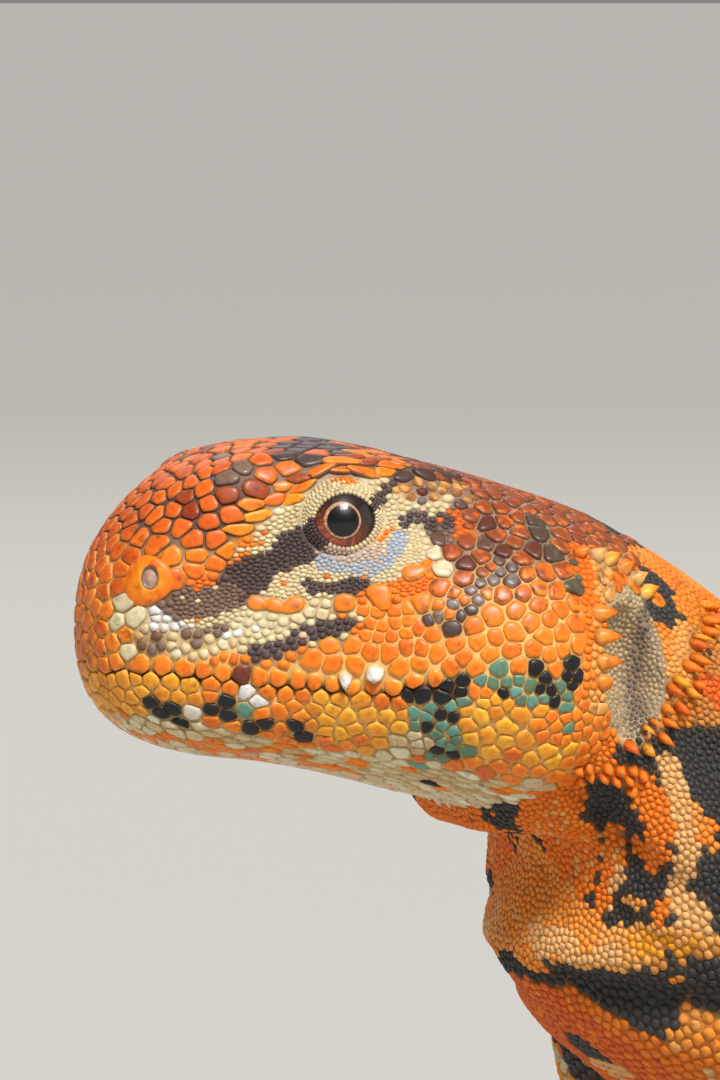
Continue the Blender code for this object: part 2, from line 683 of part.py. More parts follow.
def whorl_ring(s, keel_rise, valley_rise, overhang, sizes):
    """A tail ring whose points are valleys and keels in turn. The underside carries no spines."""
    centre, back, _, _ = frame_at(s)
    ring = []
    for k, foot in enumerate(body_ring(s, 2 * SPINES_ROUND)):
        turn = 180 * k / SPINES_ROUND
        spiny = max(0.0, min(1.0, (SPINES_END - min(turn, 360 - turn)) / SPINES_FADE))
        size = spiny * sizes[k // 2]
        keel = k % 2 == 1
        outward = (foot - centre).normalized()
        reach = back * overhang * size if keel else Vector()
        ring.append(foot + outward * (keel_rise if keel else valley_rise) * size + reach)
    return ring


def make_tail_part(name, first, last):
    """A length of tail with its whorls of spines raised in its own surface."""
    edges = whorl_edges()
    draw = np.random.default_rng(SEED + first)
    start = edges[first] + GAP
    rings = [body_ring(start, 2 * SPINES_ROUND)]
    for k in range(first, last):
        shrink = 1 - SPINES_SHRINK * k / (WHORLS - 1)
        sizes = shrink * (1 + SPINES_VARY * (draw.random(SPINES_ROUND) - 0.5))
        for share, keel_rise, valley_rise, overhang in WHORL:
            s = edges[k] + (edges[k + 1] - edges[k]) * share
            rings.append(whorl_ring(s, keel_rise, valley_rise, overhang, sizes))
    end = frame_at(TAIL_END if last == WHORLS else edges[last])[0]
    part = mesh_from_rings(name, rings, frame_at(start)[0], end)
    boolean(part, [floor_block()], "DIFFERENCE")
    finish(part, SKIN_SAND)


def leg_root(leg, side):
    """The joint that a leg hangs from, with the level directions back and out there."""
    s, share, drop = SHOULDER if leg == "foreleg" else HIP
    centre, back, left, up = frame_at(s)
    half = read_sections(BODY_SECTIONS, s)[0]
    level_back = Vector((back.x, back.y, 0)).normalized()
    out = left * side
    return centre + out * half * share - up * drop, level_back, out


def leg_joints(leg, which, side):
    """Shoulder or hip, elbow or knee, and wrist or ankle, with the directions back and out."""
    root, back, out = leg_root(leg, side)
    joints = [root]
    for away, aside, height in LEG_POSES[which][:2]:
        place = root + back * away + out * aside
        place.z = height
        joints.append(place)
    return joints, back, out


def leg_length(name, start, end, radii, grow=0.0, bow=0.0):
    """One length of a leg, bowed upward a little in the middle."""
    places = []
    for t in LEG_STATIONS:
        places.append(start.lerp(end, t) + Vector((0, 0, bow * math.sin(math.pi * t))))
    return tube(name, places, radii, sides=LEG_ROUND, grow=grow)


def along_floor(start, aimed, length, table):
    """Places at shares of a length in a level direction, raised by the table's heights."""
    return [start + aimed * length * share + Vector((0, 0, height)) for share, height, _ in table]


def make_claw(start, aimed, thick):
    """A curved claw from a toe's end down to its point."""
    places = [start + aimed * CLAW_LENGTH * share - Vector((0, 0, drop)) for share, drop, _ in CLAW]
    tip = start + aimed * CLAW_LENGTH
    tip.z = CLAW_TIP
    rings = []
    for (_, _, share), here, after in zip(CLAW, places, places[1:] + [tip]):
        side, upward = level_axes((after - here).normalized())
        rings.append(circle(here, side, upward, thick * share, 5))
    return mesh_from_rings("claw", rings, None, tip)


def make_foot(name, leg, wrist, back, out, aim, shin_end):
    """A palm with five toes, each ending in a curved claw, pressed flat by the floor."""
    length, half, toes, spread, thick = FEET[leg]
    aim = math.radians(aim)
    ahead = (-back * math.cos(aim) + out * math.sin(aim)).normalized()
    aside = ahead.cross(Vector((0, 0, 1)))
    if aside.dot(out) < 0:
        aside = -aside
    heel = Vector((wrist.x, wrist.y, 0)) - ahead * HEEL_BACK
    radii = [half * share for _, _, share in PALM]
    foot = tube(name, along_floor(heel, ahead, length, PALM), radii, sides=10, flat=PALM_FLAT)
    pieces = []
    for toe, angle in zip(toes, spread):
        lean = math.radians(angle)
        aimed = (ahead * math.cos(lean) + aside * math.sin(lean)).normalized()
        root = heel + ahead * length * TOES_FROM + aside * half * TOES_APART * math.sin(lean)
        root += aimed * half * TOE_INSIDE
        steps = along_floor(root, aimed, toe, TOE)
        pieces.append(tube("toe", steps, [thick * share for _, _, share in TOE], sides=6))
        pieces.append(make_claw(steps[-1], aimed, thick))
    boolean(foot, pieces, "UNION", "MANIFOLD")
    boolean(foot, [shin_end, floor_block()], "DIFFERENCE", "MANIFOLD")
    finish(foot, SKIN_DARK)


def make_leg(which):
    """The three lengths of one leg, each cut clear of the one above it."""
    leg, side_name = which.split("_")
    side = 1 if side_name == "left" else -1
    (root, middle, wrist), back, out = leg_joints(leg, which, side)
    upper_radii, lower_radii = LEG_RADII[leg]
    names = [f"{part}_{side_name}" for part in LEG_NAMES[leg]]
    bow = LEG_BOW[leg]

    upper = leg_length(names[0], root, middle, upper_radii, bow=bow)
    trunk = body_length("trunk", *BODY_BY_LEG[leg], TRUNK_STEP, TRUNK_ROUND, GAP)
    boolean(upper, [trunk, floor_block()], "DIFFERENCE")
    finish(upper, SKIN_DARK)

    lower = leg_length(names[1], middle, wrist, lower_radii)
    boolean(lower, [leg_length("upper", root, middle, upper_radii, GAP, bow), floor_block()], "DIFFERENCE")
    finish(lower, SKIN_DARK)

    shin_end = leg_length("shin", middle, wrist, lower_radii, GAP)
    make_foot(names[2], leg, wrist, back, out, LEG_POSES[which][2], shin_end)


def centre_on_floor():
    """Moves the model so that the middle of its footprint is at the origin."""
    things = [o for o in bpy.context.scene.objects if o.type == "MESH"]
    corners = np.array([v.co for o in things for v in o.data.vertices])
    middle = (corners.min(0) + corners.max(0)) / 2
    for thing in things:
        for v in thing.data.vertices:
            v.co.x -= middle[0]
            v.co.y -= middle[1]


def main():
    for old in list(bpy.data.objects):
        bpy.data.objects.remove(old)
    make_head()
    for name, side in (("left", 1), ("right", -1)):
        make_eye(f"eye_{name}", side)
        make_drum(f"ear_{name}", side)
    make_neck()
    for name, span in TRUNK_PARTS.items():
        make_trunk_part(name, *span)
    for name, span in TAIL_PARTS.items():
        make_tail_part(name, *span)
    for which in LEG_POSES:
        make_leg(which)
    centre_on_floor()


main()
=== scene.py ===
# An ornate spiny-tailed lizard at life size, its chest raised on its forelegs and its head turned a little to
# its right. Metres, +Z up. The head points along -X and the left side, which the camera sees, faces -Y.
import math

import bpy
import numpy as np
from mathutils import Matrix, Vector
from mathutils.bvhtree import BVHTree
from mathutils.kdtree import KDTree


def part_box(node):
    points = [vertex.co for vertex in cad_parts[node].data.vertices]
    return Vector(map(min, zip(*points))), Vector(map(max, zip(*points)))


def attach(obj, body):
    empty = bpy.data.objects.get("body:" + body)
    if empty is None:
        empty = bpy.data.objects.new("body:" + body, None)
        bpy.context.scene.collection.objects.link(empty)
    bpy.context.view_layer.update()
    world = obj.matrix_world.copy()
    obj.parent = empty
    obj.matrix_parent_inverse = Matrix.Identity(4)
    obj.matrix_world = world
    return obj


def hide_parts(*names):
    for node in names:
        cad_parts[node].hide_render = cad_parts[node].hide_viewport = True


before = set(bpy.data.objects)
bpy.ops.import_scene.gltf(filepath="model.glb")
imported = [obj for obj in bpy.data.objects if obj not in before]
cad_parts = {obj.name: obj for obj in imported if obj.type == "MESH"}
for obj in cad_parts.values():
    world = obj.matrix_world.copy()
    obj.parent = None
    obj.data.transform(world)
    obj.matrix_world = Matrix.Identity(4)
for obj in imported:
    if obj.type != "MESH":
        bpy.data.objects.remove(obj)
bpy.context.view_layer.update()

# Lengths that the solids share with this script
headLength = 0.0345
trunkLength = 0.178
tailLength = 0.142
wholeLength = trunkLength + tailLength
floorSink = 0.0005
flatFrom = 0.16

# Spine from the snout backwards: distance, descent and swing to the right in degrees
spineTable = (
    (0, 0, -10), (0.026, 0, -10), (0.038, 44, -7), (0.05, 50, -4), (0.062, 44, -1), (0.08, 33, 1),
    (0.11, 20, 3), (0.14, 9, 4), (0.165, 3, 3), (0.2, 0, -3), (0.26, 0, -16), (wholeLength, 0, -26),
)
# Head: distance from the snout, half width, height, depth, how square, how much narrower on top
headTable = (
    (0, 0, 0, 0, 2, 0), (0.012, 0.09, 0.122, 0.105, 2.1, 0.02),
    (0.035, 0.13, 0.176, 0.148, 2.2, 0.05), (0.07, 0.168, 0.228, 0.186, 2.3, 0.1),
    (0.13, 0.212, 0.292, 0.226, 2.3, 0.16), (0.23, 0.258, 0.352, 0.256, 2.4, 0.22),
    (0.35, 0.296, 0.384, 0.272, 2.4, 0.26), (0.47, 0.33, 0.388, 0.296, 2.4, 0.3),
    (0.59, 0.372, 0.37, 0.328, 2.3, 0.3), (0.71, 0.416, 0.338, 0.36, 2.3, 0.28),
    (0.83, 0.446, 0.304, 0.374, 2.3, 0.24), (0.94, 0.432, 0.268, 0.352, 2.3, 0.2),
    (1.04, 0.398, 0.236, 0.304, 2.2, 0.16), (1.12, 0.342, 0.202, 0.24, 2.1, 0.1),
    (1.18, 0.256, 0.158, 0.17, 2, 0.05), (1.22, 0.14, 0.09, 0.092, 2, 0),
    (1.235, 0, 0, 0, 2, 0),
)
# Body: distance along the spine, half width, height, depth, how square, how much narrower on top
bodyTable = (
    (0.026, 0.01, 0.008, 0.0084, 2, 0), (0.032, 0.0126, 0.0094, 0.0116, 2.1, 0.05),
    (0.04, 0.014, 0.0112, 0.0126, 2.2, 0.08), (0.046, 0.0148, 0.0122, 0.0134, 2.2, 0.1),
    (0.052, 0.016, 0.013, 0.0178, 2.2, 0.12), (0.06, 0.018, 0.014, 0.0172, 2.2, 0.14),
    (0.068, 0.02, 0.0148, 0.0164, 2.2, 0.16), (0.08, 0.0232, 0.015, 0.0158, 2.2, 0.16),
    (0.1, 0.0276, 0.0158, 0.016, 2.3, 0.18), (0.12, 0.0294, 0.016, 0.0158, 2.3, 0.18),
    (0.14, 0.027, 0.015, 0.0148, 2.3, 0.18), (0.158, 0.0214, 0.0134, 0.013, 2.3, 0.14),
    (0.17, 0.0174, 0.012, 0.0114, 2.3, 0.1), (trunkLength, 0.0152, 0.0108, 0.0102, 2.3, 0.08),
    (0.19, 0.0144, 0.0096, 0.009, 2.3, 0.06), (0.21, 0.0138, 0.0086, 0.008, 2.3, 0.05),
    (0.24, 0.012, 0.0074, 0.0068, 2.3, 0.04), (0.275, 0.0092, 0.0058, 0.0054, 2.2, 0.02),
    (0.302, 0.0062, 0.0042, 0.004, 2.1, 0), (0.315, 0.0038, 0.0029, 0.0028, 2, 0),
    (wholeLength, 0.0006, 0.0006, 0.0006, 2, 0),
)
# Swellings and hollows of the head: a line of (back, out, up) points, spread, rise
headForms = (
    (((0.009, 0.0056, 0.0102), (0.014, 0.0064, 0.0124), (0.0185, 0.0068, 0.0124), (0.023, 0.0072, 0.0106)),
     0.0016, 0.0013),  # brow
    (((0.0035, 0.005, 0.005), (0.009, 0.0058, 0.0095)), 0.0014, 0.0005),  # snout ridge
    (((0.0235, 0.0128, -0.002), (0.03, 0.014, -0.004)), 0.0044, 0.0013),  # cheek
    (((0.03, 0.011, -0.01), (0.0345, 0.0105, -0.0092)), 0.0026, 0.001),  # jowl
    (((0.008, 0.008, 0.004), (0.012, 0.0092, 0.005)), 0.0018, -0.0007),  # hollow before the eye
    (((0.0235, 0.0098, 0.0075), (0.0265, 0.0105, 0.0065)), 0.002, -0.0007),  # temple
    (((0.006, 0.008, -0.0014), (0.014, 0.0104, -0.0016), (0.021, 0.0124, -0.0022)), 0.0009, 0.0004),  # lip
    (((0.003, 0.003, -0.0056), (0.006, 0.0045, -0.0066)), 0.0016, 0.0003),  # chin
)
# Swellings of the body: distance along the spine, angle from the top, spread along and around, rise
bodyForms = (
    (0.0384, 162, 0.002, 42, 0.002), (0.047, 118, 0.0022, 40, 0.0012), (0.062, 78, 0.006, 26, 0.0012),
    (0.11, 112, 0.026, 13, 0.0016), (0.16, 55, 0.007, 22, 0.0012),
)


def smoothCurve(knots, values, at):
    # a curve through the knots that never swings past them
    knots, values, at = (np.asarray(a, float) for a in (knots, values, at))
    step = np.diff(knots)
    slope = np.diff(values) / step
    lean = np.zeros_like(values)
    lean[0], lean[-1] = slope[0], slope[-1]
    sameWay = slope[:-1] * slope[1:] > 0
    total = np.where(sameWay, slope[:-1] + slope[1:], 1.0)
    lean[1:-1] = np.where(sameWay, 2 * slope[:-1] * slope[1:] / total, 0.0)
    i = np.clip(np.searchsorted(knots, at) - 1, 0, len(step) - 1)
    t = clamp((at - knots[i]) / step[i])
    start = values[i] * (1 + 2 * t) + lean[i] * step[i] * t
    end = values[i + 1] * (3 - 2 * t) + lean[i + 1] * step[i] * (t - 1)
    return start * (1 - t) ** 2 + end * t**2


def readTable(table, at):
    # sizes at many distances; near a rounded tip they follow a root curve
    columns = np.array(table, float).T
    knots = np.sqrt(columns[0] - columns[0][0])
    place = np.sqrt(np.maximum(np.asarray(at, float) - columns[0][0], 0.0))
    return [smoothCurve(knots, column, place) for column in columns[1:]]


def unit(v):
    return v / np.maximum(np.linalg.norm(v, axis=-1, keepdims=True), 1e-12)


def clamp(values):
    return np.clip(values, 0, 1)


def blend(a, b, share):
    return a * (1 - share) + b * share


def evenTurns(count):
    return np.arange(count) * 2 * np.pi / count


def degreesFromTop(turns):
    return np.degrees(np.abs((turns + np.pi) % (2 * np.pi) - np.pi))


def makePath(steps=641):
    at = np.linspace(0, wholeLength, steps)
    knots, descent, swing = np.array(spineTable, float).T
    down = np.radians(smoothCurve(knots, descent, at))
    turn = np.radians(smoothCurve(knots, swing, at))
    back = np.stack([np.cos(down) * np.cos(turn), np.cos(down) * np.sin(turn), -np.sin(down)], 1)
    points = np.vstack([np.zeros(3), np.cumsum((back[1:] + back[:-1]) / 2 * np.diff(at)[:, None], 0)])
    depths = readTable(bodyTable, np.maximum(at, bodyTable[0][0]))[2]
    resting = at >= flatFrom
    first = int(np.argmax(resting))
    points[:, 2] += depths[first] - floorSink - points[first, 2]
    points[resting, 2] = depths[resting] - floorSink
    left = np.stack([np.sin(turn), -np.cos(turn), np.zeros_like(turn)], 1)
    return at, points, back, left, np.cross(left, back)


pathAt, pathPoints, pathBack, pathLeft, pathUp = makePath()
eyePlace = {"back": 0.0166, "out": 0.0074, "up": 0.008, "radius": 0.003, "aim": (-0.16, 1.0, 0.1)}
headAxes = pathBack[0], pathLeft[0], pathUp[0]
localEye = sum(axis * eyePlace[k] for axis, k in zip(headAxes, ("back", "out", "up"))) + pathPoints[0]
low, high = (np.array(corner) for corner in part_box("eye_left"))
pathPoints += (low + high) / 2 - localEye  # the solids were centred on their footprint
snout = pathPoints[0].copy()


def frameAt(s):
    s = np.atleast_1d(np.asarray(s, float))
    point, back, left = (np.stack([np.interp(s, pathAt, a[:, k]) for k in range(3)], 1)
                         for a in (pathPoints, pathBack, pathLeft))
    back, left = unit(back), unit(left)
    return point, back, left, np.cross(left, back)


def headPoint(back, out, up, side=1):
    back, out, up = (np.asarray(a, float)[..., None] for a in (back, out, up))
    return snout + headAxes[0] * back + headAxes[1] * out * side + headAxes[2] * up


def sectionOf(sizes, turns):
    half, tall, deep, square, narrow = sizes
    s, c = np.sin(turns), np.cos(turns)
    up = np.where(c > 0, tall, deep) * np.sign(c) * np.abs(c) ** (2 / square)
    out = half * np.sign(s) * np.abs(s) ** (2 / square)
    return out * (1 - narrow * up / (tall + deep)), up


def nearLine(points, line):
    best = np.full(len(points), 9.0)
    for a, b in zip(line, line[1:]):
        a, b = np.array(a, float), np.array(b, float)
        t = clamp((points - a) @ (b - a) / ((b - a) @ (b - a)))
        best = np.minimum(best, np.linalg.norm(points - a - t[:, None] * (b - a), axis=1))
    return best


def headSurface(back, turns):
    back, turns = np.broadcast_arrays(np.atleast_1d(np.asarray(back, float)), np.asarray(turns, float))
    sizes = readTable(headTable, back / headLength)
    out, up = sectionOf([s * headLength for s in sizes[:3]] + sizes[3:], turns)
    here = np.stack([back, np.abs(out), up], 1)
    radius = np.maximum(np.hypot(out, up), 1e-9)
    for line, spread, rise in headForms:
        swell = rise * np.exp(-((nearLine(here, line) / spread) ** 2) / 2) / radius
        out, up = out * (1 + swell), up * (1 + swell)
    return out, up


def headTurn(back, height):
    # the angle from the top at which the head's side has this height
    turns = np.radians(np.linspace(8, 172, 165))
    ups = headSurface(np.full(len(turns), back), turns)[1]
    return float(turns[int(np.argmin(np.abs(ups - height)))])


coatDepth = 0.00011  # the skin lies this far inside the solids, and the scales fill it
neckDegreesPerMm = 4.2  # brings angles round the neck to millimetres
# Folds of the neck: a line of (millimetres along the spine, degrees from the top), half width in mm, rise
neckFolds = (
    (((39, 125), (42, 129), (45.5, 129), (48.5, 124), (50, 118)), 0.8, -0.0014),  # from under the ear
    (((42, 180), (44.5, 150), (45.5, 128)), 0.8, -0.0014),  # crease behind the throat flap
    (((47, 180), (49.5, 150), (51.5, 134), (56, 122)), 1.3, 0.0001),  # fold across the lower throat
    (((46.4, 174), (48.4, 165), (49.4, 156), (50.2, 146)), 0.6, -0.0009),
    (((52.8, 165), (53.8, 155), (57, 135), (61, 122)), 1, -0.0016),
    (((43, 96), (47.5, 103), (51, 112)), 0.6, 0.0003),  # upright ridge with the pale stripe
    (((40.5, 88), (46, 94), (54, 100)), 0.9, -0.001),
    (((49.6, 140), (52, 131), (54.5, 127)), 0.6, -0.0009),
    (((57, 180), (60, 150), (64, 128)), 1.6, 0.0003),
    (((44.2, 180), (46.2, 160), (48, 142)), 2.3, -0.0026),  # hollow between the throat and the chest
)


def neckLine(line):
    return [(place, angle / neckDegreesPerMm) for place, angle in line]


def bodySurface(s, turns):
    # points of the neck, trunk or tail, with the folds of the neck
    s, turns = np.broadcast_arrays(np.atleast_1d(np.asarray(s, float)), np.asarray(turns, float))
    centre, _, left, up = frameAt(s)
    out, high = sectionOf(readTable(bodyTable, s), turns)
    angle = degreesFromTop(turns)
    swell = np.zeros_like(s)
    for place, roundAt, along, around, rise in bodyForms:
        swell = swell + rise * np.exp(-(((s - place) / along) ** 2 + ((angle - roundAt) / around) ** 2) / 2)
    here = np.stack([s * 1000, angle / neckDegreesPerMm], 1)
    for line, half, rise in neckFolds:
        swell = swell + rise * np.exp(-((nearLine(here, neckLine(line)) / half) ** 2) / 2)
    larger = 1 + swell / np.maximum(np.hypot(out, high), 1e-9)
    return centre + left * (out * larger)[:, None] + up * (high * larger)[:, None]


def addObject(name, data):
    thing = bpy.data.objects.new(name, data)
    bpy.context.scene.collection.objects.link(thing)
    return thing


def meshObject(name, points, faces, smooth=True):
    mesh = bpy.data.meshes.new(name)
    mesh.from_pydata([tuple(p) for p in points], [], [tuple(f) for f in faces])
    if smooth:
        mesh.shade_smooth()
    return addObject(name, mesh)


def loftFaces(rings, around):
    # quads between rings of equal count, with both ends capped
    faces = []
    for r in range(rings - 1):
        for k in range(around):
            after = (k + 1) % around
            faces.append((r * around + k, r * around + after, (r + 1) * around + after, (r + 1) * around + k))
    faces.append(tuple(range(around))[::-1])
    faces.append(tuple(range((rings - 1) * around, rings * around)))
    return faces


def tubeGrid(points, radii, around, flat, step):
    # rings of a limb through a few round sections, with rounded ends
    points, radii = np.array(points, float), np.array(radii, float)
    knots = np.concatenate([[0], np.cumsum(np.linalg.norm(np.diff(points, axis=0), axis=1))])
    at = np.linspace(0, knots[-1], max(6, int(knots[-1] / step)))
    centre = np.stack([smoothCurve(knots, points[:, k], at) for k in range(3)], 1)
    radius = smoothCurve(knots, radii, at)
    bends = np.radians([84, 68, 48, 25])
    first, last = unit(centre[0] - centre[1]), unit(centre[-1] - centre[-2])
    before = centre[0] + first * (radii[0] * np.sin(bends))[:, None]
    after = centre[-1] + last * (radii[-1] * np.sin(bends))[:, None]
    centre = np.vstack([before, centre, after[::-1]])
    radius = np.concatenate([radii[0] * np.cos(bends), radius, (radii[-1] * np.cos(bends))[::-1]])
    along = unit(np.gradient(centre, axis=0))
    side = np.cross(along, (0, 0, 1.0))
    level = np.linalg.norm(side, axis=1, keepdims=True) > 0.05
    side = np.where(level, unit(side), np.array((0, -1.0, 0)))
    upward = np.cross(side, along)
    turns = evenTurns(around)
    s, c = np.sin(turns)[None, :, None], np.cos(turns)[None, :, None]
    ring = side[:, None] * s + upward[:, None] * c * flat
    return centre[:, None] + ring * radius[:, None, None]


# Legs: joint along the spine, share of the half width, drop; each leg's elbow or knee and wrist or ankle as
# back, out and height above the floor, then how far the foot aims outward
legs = {
    "foreleg": {
        "joint": (0.064, 0.7, 0.004), "bow": 0.0,
        "upper": (0.0078, 0.0076, 0.0066, 0.0056), "lower": (0.0055, 0.0056, 0.0046, 0.0036),
        "palm": (0.008, 0.0056), "toes": (0.0044, 0.0062, 0.007, 0.0066, 0.0048),
        "spread": (-56, -27, -4, 19, 48), "thick": 0.0017,
        "left": ((0.008, 0.0155, 0.0225), (-0.003, 0.0205, 0.0072), 32),
        "right": ((0.0095, 0.015, 0.0225), (0.001, 0.0205, 0.0072), 40),
    },
    "hindleg": {
        "joint": (0.162, 0.62, 0.0), "bow": 0.0016,
        "upper": (0.0094, 0.0098, 0.0086, 0.0066), "lower": (0.0064, 0.0068, 0.0056, 0.0042),
        "palm": (0.012, 0.006), "toes": (0.0046, 0.007, 0.0094, 0.0112, 0.007),
        "spread": (-42, -21, -5, 13, 44), "thick": 0.0018,
        "left": ((-0.015, 0.024, 0.012), (0.009, 0.034, 0.0078), 38),
        "right": ((-0.012, 0.0255, 0.012), (0.0125, 0.033, 0.0078), 50),
    },
}
feet = {
    "heelBack": 0.0012, "toesFrom": 0.72, "toesApart": 0.66, "toeInside": 0.18,
    "palm": ((0.0, 0.0058, 0.66), (0.34, 0.0036, 0.88), (0.7, 0.0024, 1.0), (1.0, 0.0017, 0.84)),
    "toe": ((0.0, 0.002, 1.1), (0.4, 0.0026, 1.06), (0.76, 0.0021, 0.94), (1.0, 0.0015, 0.78)),
}
limbRings = {  # points round a limb, how flat it is, distance between its rings
    "upper": (48, 1.0, 0.0008), "lower": (40, 1.0, 0.0008),
    "palm": (36, 0.51, 0.0006), "toe": (20, 1.0, 0.0005),
}
claws = {"length": 0.0034, "tip": 0.0003, "thick": 0.62, "arch": 0.0004, "around": 10, "steps": 7}


def legGrids(leg, side):
    # the lofts of one leg and foot, and where its claws start
    made = legs[leg]
    place, share, drop = made["joint"]
    centre, back, left, up = (a[0] for a in frameAt(place))
    out = left * side
    root = centre + out * readTable(bodyTable, [place])[0] * share - up * drop
    levelBack = unit(np.array((back[0], back[1], 0)))
    joints = [root]
    pose = made["left" if side > 0 else "right"]
    for away, aside, height in pose[:2]:
        joint = root + levelBack * away + out * aside
        joint[2] = height
        joints.append(joint)
    stations = np.array((0, 0.36, 0.72, 1))[:, None]
    bow = np.array((0, 0, 1.0)) * made["bow"] * np.sin(np.pi * stations)
    thigh = blend(joints[0], joints[1], stations) + bow
    grids = {"upper": tubeGrid(thigh, made["upper"], *limbRings["upper"]),
             "lower": tubeGrid(blend(joints[1], joints[2], stations), made["lower"], *limbRings["lower"])}
    aim = math.radians(pose[2])
    ahead = unit(-levelBack * math.cos(aim) + out * math.sin(aim))
    aside = np.cross(ahead, (0, 0, 1.0))
    aside = aside if aside @ out > 0 else -aside
    heel = joints[2] * (1, 1, 0) - ahead * feet["heelBack"]
    length, half = made["palm"]

    def alongFloor(start, aimed, reach, table):
        return [start + aimed * reach * share + np.array((0, 0, height)) for share, height, _ in table]

    line = alongFloor(heel, ahead, length, feet["palm"])
    grids["palm"] = tubeGrid(line, [half * row[2] for row in feet["palm"]], *limbRings["palm"])
    starts = []
    for k, (toe, angle) in enumerate(zip(made["toes"], made["spread"])):
        lean = math.radians(angle)
        aimed = unit(ahead * math.cos(lean) + aside * math.sin(lean))
        start = heel + ahead * length * feet["toesFrom"] + aside * half * feet["toesApart"] * math.sin(lean)
        start = start + aimed * half * feet["toeInside"]
        line = alongFloor(start, aimed, toe, feet["toe"])
        grids[f"toe{k}"] = tubeGrid(line, [made["thick"] * row[2] for row in feet["toe"]], *limbRings["toe"])
        starts.append((line[-1], aimed, made["thick"] * claws["thick"]))
    return grids, starts


def headGrid(around=120):
    shares = np.concatenate([[0.0012, 0.004, 0.008], np.linspace(0.014, 1.2, 110), [1.215, 1.226, 1.232]])
    rings = []
    for share in shares:
        place = np.full(around, share * headLength)
        rings.append(headPoint(place, *headSurface(place, evenTurns(around))))
    return np.array(rings)


def bodyGrid(around=140):
    places = np.concatenate([np.arange(0.027, 0.07, 0.0006), np.arange(0.07, wholeLength - 0.0008, 0.0012)])
    return np.array([bodySurface(np.full(around, s), evenTurns(around)) for s in places]), places


grids = {"head": headGrid()}
grids["body"], bodyPlaces = bodyGrid()
clawStarts = []
for leg in legs:
    for side, word in ((1, "left"), (-1, "right")):
        made, starts = legGrids(leg, side)
        grids.update({f"{leg}_{word}_{part}": grid for part, grid in made.items()})
        clawStarts += starts
print("lofts made:", len(grids))

# Skin: one surface from all the lofts
skinLook = {
    "voxel": 0.00074, "smoothing": 5, "mouthWidth": 0.00034, "mouthDepth": 0.00032,
    "earCup": (0.0362, 0.0148, -0.0022), "earHalf": (0.0028, 0.004, 0.0053), "clear": 0.00015,
    "mouthReach": (0.026, 0.012), "cupFloor": 0.92, "socket": 0.0021, "eyeRoom": 0.00025, "lowest": 0.0002,
    "sideFrom": 0.007,  # from here outward a place is on one side of the head
}
eyeRims = {"height": 0.0015, "slope": 0.42, "inner": 0.002, "from": 0.0029, "to": 0.0062, "soft": 0.00022,
           "most": 0.0007}
mouthLine = (
    (0.0002, -0.0022), (0.004, -0.0024), (0.01, -0.003), (0.016, -0.0036), (0.0185, -0.0037),
    (0.0202, -0.0031), (0.0226, -0.0038),
)


def readValues(source, key, width, kind=np.float64):
    values = np.empty(len(source) * width, kind)
    source.foreach_get(key, values)
    return values.reshape(-1, width)


def triangulated(mesh):
    mesh.calc_loop_triangles()
    return readValues(mesh.loop_triangles, "vertices", 3, np.int32)


def meshPoints(mesh):
    return readValues(mesh.vertices, "co", 3)


def evaluated(thing):
    graph = bpy.context.evaluated_depsgraph_get()
    mesh = bpy.data.meshes.new_from_object(thing.evaluated_get(graph))
    thing.modifiers.clear()
    thing.data = mesh


def makeSkin():
    points, faces, start = [], [], 0
    for grid in grids.values():
        points.append(grid.reshape(-1, 3))
        faces += [tuple(k + start for k in face) for face in loftFaces(*grid.shape[:2])]
        start += len(points[-1])
    skin = meshObject("skin", np.vstack(points), faces)
    remesh = skin.modifiers.new("union", "REMESH")
    remesh.mode, remesh.voxel_size, remesh.use_smooth_shade = "VOXEL", skinLook["voxel"], True
    smooth = skin.modifiers.new("smooth", "SMOOTH")
    smooth.factor, smooth.iterations = 0.5, skinLook["smoothing"]
    bpy.context.view_layer.update()
    evaluated(skin)
    return skin


def mouthHeight(back):
    knots, heights = np.array(mouthLine).T
    return smoothCurve(knots, heights, np.clip(back, knots[0], knots[-1]))


def raiseRoundEyes(skin):
    # the skin swells a little to meet the lids, so that they don't stand out as a ball
    points, look = meshPoints(skin.data), eyeRims
    for side in (1, -1):
        outward = aimedAxes(side, eyePlace["aim"])[1]
        offset = points - eyeCentres[side]
        depth = offset @ outward
        rim = np.sqrt(np.maximum((offset**2).sum(1) - depth**2, 0))
        want = look["height"] - look["slope"] * np.maximum(rim - look["from"], 0)
        fade = clamp((look["to"] - rim) / (look["to"] - look["from"]))
        gain = look["soft"] * np.log1p(np.exp(np.clip((want - depth) / look["soft"], -30, 30))) * fade
        gain = np.where((rim > look["inner"]) & (depth > -0.001), np.minimum(gain, look["most"]), 0)
        points = points + outward * gain[:, None]
    skin.data.vertices.foreach_set("co", points.ravel())
    skin.data.update()


def headCoordinates(points):
    # (back, out, up) from the snout's tip; out is positive on the left
    away = points - snout
    back, out, up = (away @ axis for axis in headAxes)
    return back, out, up


def aimedAxes(side, aim):
    # (along, outward, across) of something on the head that faces aim = (back, out, up)
    back, left, up = headAxes
    outward = unit(back * aim[0] + left * side * aim[1] + up * aim[2])
    along = unit(back - outward * (back @ outward))
    return along, outward, np.cross(outward, along) * side


eyeCentres = {side: headPoint(eyePlace["back"], eyePlace["out"], eyePlace["up"], side) for side in (1, -1)}


